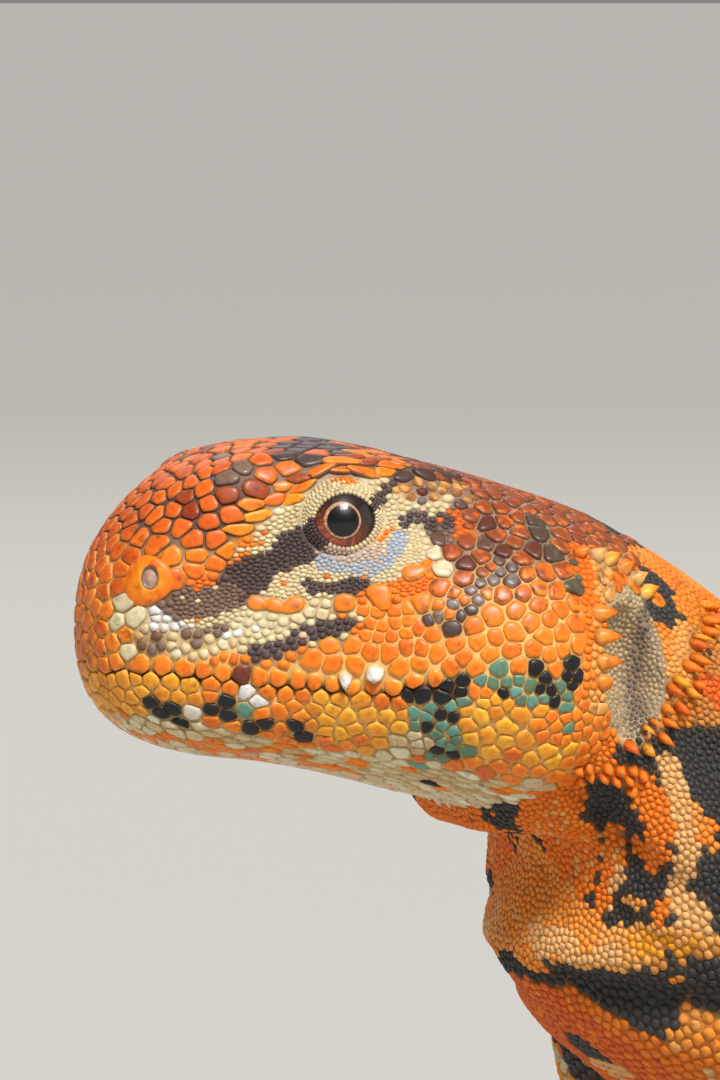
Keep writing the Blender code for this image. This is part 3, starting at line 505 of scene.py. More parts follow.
def shapeSkin(skin):
    # draws the skin in by the coat's depth, then opens the mouth line, the ears and the room for the eyes
    mesh = skin.data
    points = meshPoints(mesh)
    normals = readValues(mesh.vertex_normals, "vector", 3)
    points = points - normals * coatDepth
    back, _, up = headCoordinates(points)
    reach = skinLook["mouthReach"]
    near = (back < reach[0]) & (np.abs(up) < reach[1])
    away = np.hypot(up - mouthHeight(back), np.maximum(back - mouthLine[-1][0], 0))
    depth = skinLook["mouthDepth"] * np.exp(-((away / skinLook["mouthWidth"]) ** 2)) * near
    points = points - normals * depth[:, None]
    for side in (1, -1):
        cup = headPoint(*skinLook["earCup"], side)
        axes = np.array((headAxes[0], headAxes[1] * side, headAxes[2]))
        half = np.array(skinLook["earHalf"]) - skinLook["clear"]
        local = (points - cup) @ axes.T / half
        flat = local[:, 0] ** 2 + local[:, 2] ** 2
        inside = (flat < 1) & ((local**2).sum(1) < 1.0) | (flat < 1) & (local[:, 1] > 0) & (local[:, 1] < 1.2)
        floor = -np.sqrt(clamp(1 - flat)) * skinLook["cupFloor"]
        local[:, 1] = np.where(inside, np.minimum(local[:, 1], floor), local[:, 1])
        points = np.where(inside[:, None], cup + (local * half) @ axes, points)
        offset = points - eyeCentres[side]
        reach = np.linalg.norm(offset, axis=1)
        room = eyePlace["radius"] + skinLook["eyeRoom"]
        outward = aimedAxes(side, eyePlace["aim"])[1]
        depth = offset @ outward
        rim = np.sqrt(np.maximum(reach**2 - depth**2, 0))
        sunk = -np.sqrt(np.maximum(room**2 - rim**2, 0))
        caught = (reach < room) & (rim < skinLook["socket"])
        points = np.where(caught[:, None], points + outward * (sunk - depth)[:, None], points)
    points[:, 2] = np.maximum(points[:, 2], skinLook["lowest"])
    mesh.vertices.foreach_set("co", points.ravel())
    mesh.update()
    return points


skin = makeSkin()
raiseRoundEyes(skin)
smoothSkin = BVHTree.FromPolygons(meshPoints(skin.data).tolist(), triangulated(skin.data).tolist())
skinPoints = shapeSkin(skin)
shapedSkin = BVHTree.FromPolygons(skinPoints.tolist(), triangulated(skin.data).tolist())
print("skin vertices:", len(skinPoints), "triangles:", len(triangulated(skin.data)))

# Colours as seen in the photograph's light, 0 to 1 in screen values
palette = {
    "orange": (0.97, 0.5, 0.07), "apricot": (0.98, 0.61, 0.22), "deepOrange": (0.92, 0.41, 0.08),
    "rust": (0.66, 0.28, 0.1), "amber": (0.97, 0.64, 0.13), "creamOrange": (0.94, 0.71, 0.44),
    "cream": (0.88, 0.8, 0.62), "stain": (0.33, 0.17, 0.13),
    "sand": (0.72, 0.62, 0.46), "greyBrown": (0.5, 0.42, 0.38), "umber": (0.33, 0.26, 0.25),
    "maroon": (0.46, 0.2, 0.12), "olive": (0.36, 0.35, 0.27), "charcoal": (0.215, 0.21, 0.2),
    "black": (0.07, 0.07, 0.08), "teal": (0.38, 0.55, 0.46), "lidBlue": (0.7, 0.72, 0.75),
    "white": (0.92, 0.9, 0.87), "pinkGrey": (0.72, 0.56, 0.5), "horn": (0.16, 0.12, 0.1),
    "ochre": (0.8, 0.52, 0.22), "paleSeam": (0.93, 0.72, 0.42), "darkSeam": (0.6, 0.5, 0.43),
    "pinkCream": (0.8, 0.7, 0.62), "paleOrange": (0.95, 0.66, 0.33), "brown": (0.5, 0.39, 0.32),
}
palette = {name: np.array(tone) for name, tone in palette.items()}


def painted(colour, where, name, strength=1):
    return np.where(where[:, None], palette[name] * strength, colour)


def either(where, name, other):
    return np.where(where[:, None], palette[name], palette[other])


def screenToLinear(colour):
    colour = np.asarray(colour, float)
    return np.where(colour <= 0.04045, colour / 12.92, ((colour + 0.055) / 1.055) ** 2.4)


grainPrimes = (73856093, 19349663, 83492791)  # large primes that scramble the corners of the noise


def grain(points, size, seed):
    # smooth noise from 0 to 1, the same on every run
    place = np.asarray(points, float) / size + 5000
    base = np.floor(place).astype(np.int64)
    t = place - base
    t = t * t * (3 - 2 * t)
    total = np.zeros(len(place))
    for dx, dy, dz in np.ndindex(2, 2, 2):
        corner = base + (dx, dy, dz)
        x, y, z = (corner * grainPrimes).T
        mixed = x ^ y ^ z ^ (seed * 9176 + 77)
        mixed = (mixed ^ (mixed >> 13)) * 1274126177 & 0x7FFFFFFF
        value = ((mixed ^ (mixed >> 15)) & 0xFFFF) / 65535
        weight = np.where(dx, t[:, 0], 1 - t[:, 0]) * np.where(dy, t[:, 1], 1 - t[:, 1])
        total += value * weight * np.where(dz, t[:, 2], 1 - t[:, 2])
    return total


# Sizes of the head's scales in mm, in the order they apply: a line of (back, up) points, half width, size,
# how stretched along the head, how domed, share of the seam
headSizes = {
    "all": (1.4, 1, 0.17, 0.032),
    "zones": (
        (((0, 0), (3, 6), (8, 11), (14, 14)), 5, 1.3, 1.15, 0.17, 0.04),  # snout
        (((16, 14), (26, 13), (36, 11)), 4, 1.15, 1.6, 0.15, 0.035),  # crown
        (((23, 7), (31, 6), (31, 0), (24, 1)), 4.2, 1.38, 1, 0.22, 0.045),  # cheek
        (((21, -1), (30, -2)), 1.8, 1.14, 1, 0.24, 0.05),
        (((6, 0.6), (12, 1.2), (19, 1.6)), 1.5, 0.85, 1.1, 0.2, 0.035),
        (((2, -4.5), (12, -5.5), (20, -6)), 2, 1, 1.15, 0.22, 0.045),  # lower lip
        (((20, -6), (30, -7)), 2.8, 1.25, 1.1, 0.22, 0.05),
        (((20, -4.5), (24, -3.6), (30, -3.4)), 1.3, 0.8, 1, 0.26, 0.04),
        (((20.5, -4), (22.2, -8)), 1.3, 0.85, 1, 0.26, 0.04),
        (((1, -6.6), (10, -8.2), (20, -10.4), (34, -13)), 1.5, 0.7, 2.6, 0.2, 0.04),  # edge of the chin
        (((2, -8.5), (14, -12), (34, -17)), 2.6, 0.85, 1.5, 0.14, 0.04),  # throat
        (((4.5, 1.9), (8, 0.9), (12, 0.2)), 1.3, 0.58, 1.2, 0.16, 0.03),  # pale patch behind the nostril
        (((3, 0.2), (7, -0.8), (11, -1.2)), 0.9, 0.72, 1.1, 0.2, 0.04),
        (((9.6, -0.6), (12.5, 0.2), (16, 1.2)), 0.8, 0.48, 1.3, 0.14, 0.02),
        (((6.2, 2.4), (9.5, 3.9), (12.5, 6.2)), 1.7, 0.3, 1.5, 0.1, 0.012),  # before the eye
        (((4.9, 5.6), (8, 5.3)), 0.9, 1.05, 1.15, 0.2, 0.04),
        (((12, 4.2), (20, 4.6)), 1.5, 0.3, 1.6, 0.1, 0.012),
        (((14.8, 7), (19, 7)), 2.9, 0.27, 1.4, 0.1, 0.012),  # round the eye
        (((9, 5.2), (11.2, 7), (13.4, 8.6), (16.4, 9.9), (20, 10.1)), 0.9, 0.3, 1.7, 0.1, 0.012),
        (((20.4, 10.2), (22, 8.6), (24, 8)), 1.3, 0.4, 1.3, 0.12, 0.015),
        (((21.5, 10.4), (26, 9.8)), 0.9, 0.7, 1.3, 0.18, 0.03),
        # brow
        (((9, 7.6), (11.6, 9.6), (14.6, 11.1), (17.6, 11.8), (22, 11.8)), 0.8, 0.78, 2.3, 0.3, 0.03),
        (((21.6, 1.5), (23.8, 3), (26.6, 4.9)), 0.8, 0.82, 1, 0.22, 0.05),
        (((33.2, 5.5), (33, 0), (32.6, -4.4)), 0.9, 0.55, 1, 0.18, 0.03),  # before the ear
        (((29.5, -6.4), (33, -5.8), (35, -8)), 1.3, 0.85, 1, 0.3, 0.04),  # lobe under the ear
    ),
}

# Markings of the head in mm: colour, a line of (back, up) points, half width, share of the scales
headMarks = (
    ("rust", ((14, 14), (20, 14), (34, 12)), 2.6, 0.22),
    ("maroon", ((16, 13.8), (22, 13.6), (30, 12)), 1.6, 0.1),
    ("rust", ((7.6, 10.2), (10, 11.4), (12.6, 12.8)), 1.3, 0.22),
    ("brown", ((8.4, 10.9), (11.5, 12.6)), 1.4, 0.16),
    ("rust", ((5.5, 9.2), (9.4, 9.8)), 0.6, 0.3),
    ("umber", ((16.5, 12.9), (22.9, 11.7), (27, 10)), 0.7, 0.6),
    ("cream", ((9, 5), (11.2, 6.9), (13.4, 8.6), (16.4, 9.9), (20, 10.1)), 1, 0.98),
    ("umber", ((11.5, 11.6), (15.5, 13.4), (20.2, 13.4)), 0.45, 0.7),
    ("cream", ((2.6, 1.6), (8, 2.2), (10.1, 3.2), (14.1, 4.3), (18.2, 5.2), (21.5, 6.2)), 1.5, 0.97),
    ("cream", ((3, -0.4), (8.5, 0.2), (12, 0.6), (15.5, 1.6)), 1.3, 0.9),
    ("cream", ((15.6, 7.6), (18.2, 7.6)), 3.2, 1),
    ("orange", ((8.6, 7.1), (11.6, 9.6), (14.6, 11.2), (17.6, 12), (22, 11.9)), 0.85, 0.97),
    ("rust", ((11, 9.8), (14.6, 11.8), (17.6, 12.5), (21, 12.4)), 0.4, 0.3),
    ("cream", ((16.2, 7.8), (17.6, 7.8)), 3.1, 1),
    ("orange", ((4.6, 5.4), (8.4, 5.2)), 1, 0.92),
    ("orange", ((8.4, 4.7), (10.4, 6.6)), 0.4, 0.45),
    ("pinkCream", ((14.6, 6.3), (16.4, 5.7), (18.6, 6)), 0.5, 1),
    ("umber", ((8.6, 3.6), (10.5, 4.9), (12.6, 6.2), (14.6, 7.5)), 0.98, 1),
    ("umber", ((14.2, 6.6), (14.6, 8.2)), 0.45, 1),
    ("brown", ((4.6, 2.5), (6.6, 2.6), (8.4, 3)), 0.95, 0.95),
    ("brown", ((2.6, -0.5), (5.4, -0.2), (7.4, 0.9)), 0.5, 0.6),
    ("black", ((10.8, -2), (11.3, -2.3)), 0.42, 0.9),
    ("maroon", ((8.9, -2.2), (9.3, -2.4)), 0.4, 0.9),
    ("white", ((3.6, 1.1), (4.7, 0.8)), 0.6, 1),
    ("white", ((7.4, 0.3), (9.2, 0.9)), 0.4, 0.55),
    ("umber", ((13.6, 3.55), (15.6, 3.5), (17.4, 3.7)), 0.42, 1),
    ("umber", ((9.6, -0.9), (11.4, -0.2), (13.6, 0.7), (15.6, 1.1)), 0.62, 0.95),
    ("umber", ((18.6, 9.6), (20.5, 10.4), (22.6, 11.2)), 0.45, 1),
    ("paleOrange", ((21.5, 9.9), (23.5, 10.2), (26, 9.8)), 0.8, 0.95),
    ("cream", ((19.8, 9), (22.5, 8.9), (24.6, 9.2)), 0.5, 1),
    ("umber", ((20.9, 8.1), (22.6, 7.8), (24, 7.9)), 0.68, 0.95),
    ("brown", ((22.4, 6.6), (23.6, 6.9)), 0.55, 0.9),
    ("cream", ((19.4, 6.2), (21.6, 6.2)), 0.9, 1),
    ("orange", ((18.8, 3.6), (21, 4.4), (22.6, 5.8)), 0.42, 0.95),
    ("lidBlue", ((14.3, 5.6), (16.3, 4.75), (18.2, 5), (20.1, 6.9)), 0.42, 1),
    ("orange", ((18.8, 6.9), (19.6, 7.4)), 0.22, 1),
    ("maroon", ((22, 8.6), (26.9, 7.6), (31.8, 6.4)), 2.6, 0.17),
    ("greyBrown", ((22.6, 8), (28, 7.4)), 2.2, 0.06),
    ("olive", ((29.5, 7.4), (32.2, 4.5), (32.6, 2)), 1.3, 0.55),
    ("maroon", ((23.5, 5.2), (28.5, 4)), 0.9, 0.16),
    ("orange", ((22, 0.1), (26.7, 0.3), (31, 0.3)), 2.2, 0.85),
    ("greyBrown", ((21.6, 1.5), (23.8, 3), (26.6, 4.9)), 0.85, 0.45),
    ("umber", ((21.4, 1.2), (23.2, 2.4)), 0.9, 0.4),
    ("black", ((28.8, -2.9), (30.6, -2.2)), 0.8, 0.8),
    ("amber", ((23.9, -5.9), (29.5, -7)), 2, 0.95),
    ("teal", ((20.5, -3.8), (25.1, -2.9), (29.2, -3.9), (31.6, -6.2)), 1.05, 0.85),
    ("teal", ((20.8, -4.6), (22.2, -6.4), (22.6, -8.4)), 1.6, 0.92),
    ("black", ((20.8, -4.2), (22.2, -6.4), (22.8, -9)), 1.6, 0.36),
    ("black", ((22, -3.4), (26.6, -2.8), (30.8, -3.2)), 1.1, 0.36),
    ("amber", ((14.8, -5), (19, -6.6)), 1.6, 0.9),
    ("cream", ((19.4, -7.6), (20.8, -7.2)), 0.8, 0.8),
    ("amber", ((1, -4.4), (4.5, -4.4)), 1.7, 0.85),
    ("cream", ((2.5, -7), (10, -8.4), (17.5, -9.9), (25, -11.6), (33, -12.4)), 1.7, 0.8),
    ("orange", ((2.5, -6.4), (10, -7.9), (17.5, -9.4)), 0.6, 0.45),
    ("white", ((5.2, -4.4), (6.4, -5.2)), 0.5, 0.7),
    ("black", ((3.9, -4.6), (5.2, -5.8)), 0.62, 0.92),
    ("black", ((8, -4.8), (10.2, -6)), 0.7, 0.8),
    ("white", ((8.6, -3.9), (10, -4.2)), 0.4, 0.7),
    ("black", ((12.9, -6.2), (14.2, -7)), 0.6, 0.9),
    ("teal", ((9.2, -5.2), (9.6, -5.4)), 0.35, 0.9),
    ("orange", ((29.5, -6.3), (33.2, -5.6), (35.3, -7.6)), 1.3, 0.92),
    ("paleOrange", ((34.6, 4.6), (33.6, 0.2), (33, -4.5)), 0.9, 0.85),
)

# Markings of the neck and chest: colour, a line of (millimetres along the spine, degrees from the top), half
# width in mm, share of the scales that take it
neckMarks = (
    ("orange", ((30.4, 174), (36, 168), (44, 168)), 3.2, 1),  # throat
    # side of the throat
    ("orange", ((38.6, 133), (41, 140), (43.5, 148), (46, 157), (48, 167)), 2.6, 1),
    ("paleOrange", ((39.5, 136), (41.5, 146), (43.8, 158)), 1.2, 0.35),
    ("paleOrange", ((44.5, 142), (46.5, 150), (47.5, 162)), 1, 0.35),
    ("charcoal", ((37.6, 158), (40.4, 156), (41.8, 164)), 0.65, 0.95),
    ("charcoal", ((43.6, 178), (45.4, 172)), 0.7, 0.95),
    ("charcoal", ((41, 118), (43, 121), (44.6, 122)), 0.9, 1),
    ("charcoal", ((42.6, 129), (44.4, 132)), 0.8, 1),
    ("charcoal", ((41, 110), (43.6, 94), (48, 92), (52, 104)), 2.2, 1),
    ("charcoal", ((46.9, 127), (49.6, 125)), 1.2, 1),
    ("charcoal", ((48.9, 150), (50, 138), (51, 128)), 0.65, 1),
    ("orange", ((45, 131), (46.6, 138), (48.6, 144)), 1.1, 1),
    ("creamOrange", ((47, 134), (48.6, 142)), 0.7, 0.6),
    ("deepOrange", ((48.8, 164), (49.8, 151), (50.7, 141)), 0.45, 0.9),
    ("orange", ((50, 123), (50.6, 129)), 0.4, 0.9),
    ("orange", ((42.3, 111), (44.5, 114.5), (47.2, 123)), 0.9, 1),
    # upright stripe
    ("creamOrange", ((42.6, 101), (44.2, 105), (46, 110), (48, 113.5), (50, 118), (52, 121), (54, 126)),
     0.85, 1),
    ("paleOrange", ((46.5, 180), (49, 169), (50.8, 157), (51.6, 145), (52.2, 134), (53.6, 125)), 1.5, 1),
    ("apricot", ((45.4, 180), (47.6, 172), (49.2, 164), (50.2, 155)), 1.7, 0.85),
    ("creamOrange", ((49.2, 170), (50.3, 163), (51.2, 152), (51.8, 143)), 0.7, 0.95),
    ("amber", ((52, 134), (53.2, 126)), 0.9, 0.8),
    ("charcoal", ((54, 132), (57.5, 122), (60, 108)), 1, 1),
    ("ochre", ((53.6, 134), (55.4, 122)), 0.8, 0.6),
    ("orange", ((53.2, 180), (55.4, 168), (58.6, 160), (64, 162)), 2.3, 1),  # chest
    ("deepOrange", ((53.6, 180), (56, 171), (60, 166), (66, 170)), 1.9, 0.85),
    ("charcoal", ((51.2, 180), (52.6, 168), (54, 158), (55, 148), (56.5, 139)), 0.75, 1),
    ("ochre", ((41.5, 80), (40, 58)), 1.7, 0.8),  # nape
    ("paleOrange", ((38.2, 96), (38.8, 76), (38.2, 60)), 1.1, 0.75),
    ("deepOrange", ((41.8, 73), (45.2, 74)), 1.4, 0.95),
    ("orange", ((36.8, 125), (39.4, 119), (42.2, 112)), 1, 0.95),
    ("paleOrange", ((37.4, 122), (40.4, 116)), 0.6, 0.5),
)
rowsApart = 12.5  # mm between the rows of eyespots on the back


def headFields(points):
    # size, stretch, dome and seam of the scales at points of the head
    back, _, up = (a * 1000 for a in headCoordinates(points))
    here = np.stack([back, up], 1)
    fields = np.tile(headSizes["all"], (len(points), 1))
    for line, half, *values in headSizes["zones"]:
        share = clamp((half * 1.25 - nearLine(here, line)) / (half * 0.35))[:, None]
        fields = blend(fields, np.array(values), share)
    return fields


def ragged(places, points, size, seed, reach, rng):
    # places shifted by smooth noise and a little at random, so that markings have ragged edges
    wobble = np.stack([grain(points, size, seed), grain(points, size, seed + 1)], 1) - 0.5
    return places + wobble * reach + rng.normal(0, 0.1, places.shape)


headTone = {
    "deepFrom": 2, "deepOver": 7, "chin": -7.2, "chinSlope": 0.17, "paleSeamFrom": 18, "snoutSeam": 14,
    "fine": 0.62, "vary": (0.03, 0.07, 0.12), "pale": ("cream", "white", "lidBlue", "amber", "creamOrange"),
    "coarseOnly": ("maroon", "olive", "rust"),
}


def paintHead(points, rng):
    # (colour, seam, stain) of each scale of the head, in screen values
    back, _, up = (a * 1000 for a in headCoordinates(points))
    count = len(points)
    here = ragged(np.stack([back, up], 1), points, 0.0016, 3, 0.8, rng)
    look = headTone
    deep = clamp((up - look["deepFrom"] + np.clip(8 - back, 0, 8) * 0.5) / look["deepOver"])[:, None]
    colour = blend(np.tile(palette["orange"], (count, 1)), palette["deepOrange"], deep)
    chin = (up < look["chin"] - back * look["chinSlope"])[:, None]
    throat = either(rng.random(count) < 0.35, "creamOrange", "cream")
    colour = np.where(chin, throat, colour)
    stain = clamp((up - 1.0) / 5) * clamp((back - 20) / 3) * 0.52 + 0.08
    stain = stain + clamp((up - 9) / 4) * 0.06 + clamp((6 - back) / 3) * 0.12
    fine = headFields(points)[:, 0] < look["fine"]
    for name, line, half, share in headMarks:
        taken = (nearLine(here, line) < half) & (rng.random(count) < share)
        taken &= ~(fine & (name in look["coarseOnly"]))
        colour = painted(colour, taken, name)
        stain = np.where(taken, 0.05 if name in look["pale"] else np.minimum(stain, 0.55), stain)
    high = clamp((up - 1 - back * 0.03) / 5)[:, None] * (back > look["paleSeamFrom"])[:, None]
    seam = blend(palette["paleSeam"], palette["darkSeam"], high)
    snoutSeam = clamp((look["snoutSeam"] - back) / 4)[:, None] * clamp((up - 5 + back * 0.1) / 3)[:, None]
    seam = blend(seam, palette["umber"] * 1.05, snoutSeam)
    seam = blend(seam, palette["greyBrown"] * 0.95, clamp((up - 9.5) / 2)[:, None])
    dark = colour.sum(1, keepdims=True) < 1.25
    seam = np.where(dark, seam * 0.55 + colour * 0.35, seam)
    pale = colour.min(1, keepdims=True) > 0.55
    seam = np.where(pale, seam * 0.4 + colour * 0.5, seam)
    seam = np.where(fine[:, None], colour * 0.9, seam)
    vary = np.where(fine, 0.4, 1.0)[:, None] * rng.normal(0, 1, (count, 1))
    return clamp(colour * (1 + vary * look["vary"])), seam, stain * ~fine


bodyTone = {
    "spotsFrom": 60, "spots": ((3.1, "black"), (2.4, "orange"), (1.5, "amber"), (0.8, "cream")),
    "backTo": 88, "bellyFrom": 128, "neckTo": 0.06, "marksTo": 0.072, "tailFrom": 0.158,
}


def paintBody(s, turn, points, rng):
    # the same for the neck and trunk, by the place along the spine and the turn round it
    count = len(points)
    angle, look = degreesFromTop(turn), bodyTone
    here = ragged(np.stack([s * 1000, angle / neckDegreesPerMm], 1), points, 0.0024, 5, 1.1, rng)
    coarse, finer = grain(points, 0.0062, 7), grain(points, 0.0021, 8)
    bark = grain(points, 0.009, 15)[:, None]
    colour = blend(palette["charcoal"], palette["umber"], bark) * (0.75 + 0.55 * finer)[:, None]
    # rows of eyespots over the back, with broken bars between them
    row = np.round((s * 1000 - look["spotsFrom"]) / rowsApart)
    ahead = s * 1000 - look["spotsFrom"] - row * rowsApart
    turned = (np.degrees(turn) + 20 * (row % 2) + 20) % 40 - 20
    reach = np.hypot(ahead * 1.15, turned * 0.42) + (coarse - 0.5) * 1.6 + (finer - 0.5) * 1.1
    bars = np.abs(np.abs(ahead) - rowsApart / 2) < 1.3 + coarse
    bars &= finer * 0.6 + grain(points, 0.004, 16) * 0.6 > 0.66
    flecks = rng.random(count) < 0.05 + 0.1 * finer
    back = angle < look["backTo"] + 12 * coarse
    colour = painted(colour, flecks & back, "ochre", 0.8)
    colour = np.where((bars & back)[:, None], palette["ochre"] * 0.5 + palette["orange"] * 0.45, colour)
    for limit, name in look["spots"]:
        colour = painted(colour, (reach < limit) & back & (s > 0.066), name)
    flank = ~back & (coarse * 0.8 + finer * 0.45 + 0.18 * np.cos(2 * np.pi * ahead / rowsApart) > 0.62)
    front = (s < 0.075) & back & (coarse * 0.8 + finer * 0.4 > 0.64)
    warm = either(finer > 0.55, "amber", "orange")
    colour = np.where((flank | front)[:, None], warm, colour)
    belly = angle > look["bellyFrom"] + coarse * 22
    pale = either(finer + coarse > 1.12, "orange", "creamOrange")
    colour = np.where((belly & (s > 0.058))[:, None], pale, colour)
    neck = s < look["neckTo"]
    blotch = coarse * 0.8 + finer * 0.35 > 0.6
    colour = painted(colour, neck & ~blotch, "charcoal", 1.15)
    mellow = blend(palette["orange"], palette["paleOrange"], clamp(finer * 1.6 - 0.5)[:, None])
    colour = np.where((neck & blotch)[:, None], mellow, colour)
    toTail = (s > look["tailFrom"]) & (rng.random(count) < np.clip((s - 0.16) / 0.05, 0, 0.6)) & (finer > 0.3)
    colour = painted(colour, toTail, "ochre", 0.92)
    for name, line, half, share in neckMarks:
        taken = (nearLine(here, neckLine(line)) < half) & (rng.random(count) < share) & (s < look["marksTo"])
        colour = painted(colour, taken, name)
    return colour, colour * 0.84, np.full(count, 0.1)


def paintLeg(points, rng):
    count = len(points)
    coarse, finer = grain(points, 0.0045, 9), grain(points, 0.0016, 10)
    level = coarse * 0.8 + finer * 0.4
    dark = blend(palette["charcoal"], palette["umber"], finer[:, None] * 0.8)
    colour = np.where((rng.random(count) < 0.08)[:, None], palette["ochre"] * 0.85, dark)
    for limit, name in ((0.63, "orange"), (0.72, "amber"), (0.82, "cream")):
        colour = painted(colour, level > limit, name)
    return colour, colour * 0.82, np.full(count, 0.1)


# Scales, gathered as lists of arrays until every part has been seeded
seedParts = []


def addSeeds(region, points, normals, sizes, stretch, dome, gap, colour, seam, stain, chart,
             lean=None, sharp=0.0, along=None):
    count = len(points)

    def fill(value):
        return np.broadcast_to(np.asarray(value, float), (count,)).copy()

    seedParts.append({
        "region": np.full(count, region), "point": points, "normal": normals, "size": fill(sizes),
        "stretch": fill(stretch), "dome": fill(dome), "gap": fill(gap), "colour": colour, "seam": seam,
        "stain": fill(stain), "chart": chart, "sharp": fill(sharp),
        "lean": np.zeros((count, 3)) if lean is None else lean,
        "along": np.tile(headAxes[0], (count, 1)) if along is None else along,
    })


def snapTo(tree, points, reach=0.0012):
    # the nearest places and normals on the skin, and which points found one in reach
    places, normals = np.array(points), np.tile((0, 0, 1.0), (len(points), 1))
    found = np.zeros(len(points), bool)
    reaches = np.broadcast_to(reach, len(points)).tolist()
    for k, point in enumerate(points):
        place, normal, _, _ = tree.find_nearest(Vector(point), reaches[k])
        if place is not None:
            places[k], normals[k], found[k] = place, normal, True
    return places, normals, found


def scatter(points, sizes, stretches, alongs, fixed, closeness=0.82):
    # keeps points that aren't too close to one another; the first ones, fixed, are always kept
    cell = float(sizes.max())
    where = np.floor(points / cell).astype(int)
    kept, grid = [], {}
    listed = points.tolist()
    for k in range(len(points)):
        x, y, z = listed[k]
        i, j, l = where[k]
        clear = True
        if k >= fixed:
            ax, ay, az = alongs[k]
            squeeze = 1 - 1 / stretches[k] ** 2
            for key in ((i + a, j + b, l + c) for a in (-1, 0, 1) for b in (-1, 0, 1) for c in (-1, 0, 1)):
                for other in grid.get(key, ()):
                    ox, oy, oz = listed[other]
                    dx, dy, dz = ox - x, oy - y, oz - z
                    lengthwise = dx * ax + dy * ay + dz * az
                    need = (sizes[k] + sizes[other]) * 0.5 * closeness
                    if dx * dx + dy * dy + dz * dz - lengthwise * lengthwise * squeeze < need * need:
                        clear = False
                        break
                if not clear:
                    break
        if clear:
            kept.append(k)
            grid.setdefault((i, j, l), []).append(k)
    return np.array(kept)


def pointTree(points):
    tree = KDTree(len(points))
    for k, point in enumerate(points):
        tree.insert(Vector(point), k)
    tree.balance()
    return tree


def neighbours(points, count):
    tree = pointTree(points)
    near = np.zeros((len(points), count), int)
    for k, point in enumerate(points):
        found = [index for _, index, _ in tree.find_n(Vector(point), count + 1)][1:]
        near[k] = found + [found[-1]] * (count - len(found))
    return near


settleNear, settleShare = 9, 0.28  # neighbours that push a scale, and how much of the push it takes


def settle(points, sizes, stretches, alongs, fixed, tree, rounds):
    # spreads the scales evenly, each keeping its own size
    for _ in range(rounds):
        near = neighbours(points, settleNear)
        away = points[:, None] - points[near]
        lengthwise = (away * alongs[:, None]).sum(2)
        squeezed = away - alongs[:, None] * (lengthwise * (1 - 1 / stretches[:, None]))[..., None]
        distance = np.maximum(np.linalg.norm(squeezed, axis=2), 1e-7)
        want = (sizes[:, None] + sizes[near]) * 0.5
        apart = np.maximum(np.linalg.norm(away, axis=2), 1e-12)
        push = np.clip(want - distance, 0, None)[..., None] * away / apart[..., None]
        move = push.sum(1) * settleShare
        move[:fixed] = 0
        points, _, _ = snapTo(tree, points + move, 0.01)
    return points


def gridSamples(grid, count, rng):
    # random points spread evenly over a loft
    after = np.roll(grid, -1, axis=1)
    side, down = (after - grid)[:-1], grid[1:] - grid[:-1]
    area = np.linalg.norm(np.cross(side, down), axis=2)
    flat = rng.choice(area.size, count, p=area.ravel() / area.sum())
    i, j = np.unravel_index(flat, area.shape)
    x, y = rng.random((2, count))
    point = grid[i, j] + side[i, j] * x[:, None] + down[i, j] * y[:, None]
    return point, i + y, (j + x) / grid.shape[1]


def placeOf(rows):
    # metres along the spine of rows of the body's loft
    return np.interp(rows, np.arange(len(bodyPlaces)), bodyPlaces)


rowShare = 0.87  # distance between staggered rows, as a share of the distance within them


def rowSamples(grid, spacing, first=0, last=None):
    # staggered rows of even spacing round a loft
    last = grid.shape[0] - 1 if last is None else last
    steps = np.linalg.norm(np.diff(grid, axis=0), axis=2).mean(1)
    length = np.concatenate([[0], np.cumsum(steps)])
    points, rows, turns = [], [], []
    for k, at in enumerate(np.arange(length[first] + spacing / 2, length[last], spacing * rowShare)):
        i = min(int(np.searchsorted(length, at)) - 1, grid.shape[0] - 2)
        t = (at - length[i]) / max(length[i + 1] - length[i], 1e-9)
        ring = blend(grid[i], grid[i + 1], t)
        closed = np.vstack([ring, ring[:1]])
        girth = np.concatenate([[0], np.cumsum(np.linalg.norm(np.diff(closed, axis=0), axis=1))])
        count = max(3, int(girth[-1] / spacing))
        places = (np.arange(count) + 0.5 * (k % 2) + 0.25) / count * girth[-1]
        points.append(np.stack([np.interp(places, girth, closed[:, c]) for c in range(3)], 1))
        rows.append(np.full(count, i + t))
        turns.append(np.interp(places, girth, np.arange(len(closed))) / len(ring))
    return np.vstack(points), np.concatenate(rows), np.concatenate(turns)


# Eyelids: rings of granules round an opening, over a smooth lid that merges into the skin
lids = {
    "halfLength": 0.00205, "halfHeight": 0.00178, "corner": 0.12, "granule": 0.00027, "rows": 11, "step": 4.1,
    "outer": ((0, 0.02), (1.2, 0.12), (3.5, 0.2), (6, 0.25), (9, 0.27), (16, 0.29), (28, 0.28), (40, 0.22),
              (50, 0.1)),
    "inner": ((50, -0.3), (25, -0.3), (2, -0.2)), "around": 96, "firstRow": 5, "least": -0.00012,
    "reach": 3.3, "edge": 38, "apart": 1150,  # mm from the eye's middle, degrees from its aim, granules' gap
}
nostrils = {
    "place": (0.0028, 0.0042), "aim": (-0.62, 1, 0.25), "half": (0.00205, 0.00185), "rise": 0.00042,
    "opening": (0.00068, 0.00088), "openingBack": 0.00042, "openingUp": 0.0001, "pit": 0.00045, "around": 40,
    # the shield: share of the way in, height; the fold inside it: share of the opening, depth, tone, which
    # paints shade darkest at the opening's lip and in the pit
    "shield": ((0, -0.00055), (0, 0.1), (0.05, 0.5), (0.16, 0.8), (0.4, 1), (0.7, 1.02), (0.88, 1.1),
               (0.96, 1.06), (1, 0.9)),
    "fold": ((0.93, -0.1, 0.55), (0.84, -0.65, 0.75), (0.62, -0.62, 1), (0.35, -0.35, 1.08),
             (0.12, -0.28, 1.12)),
}
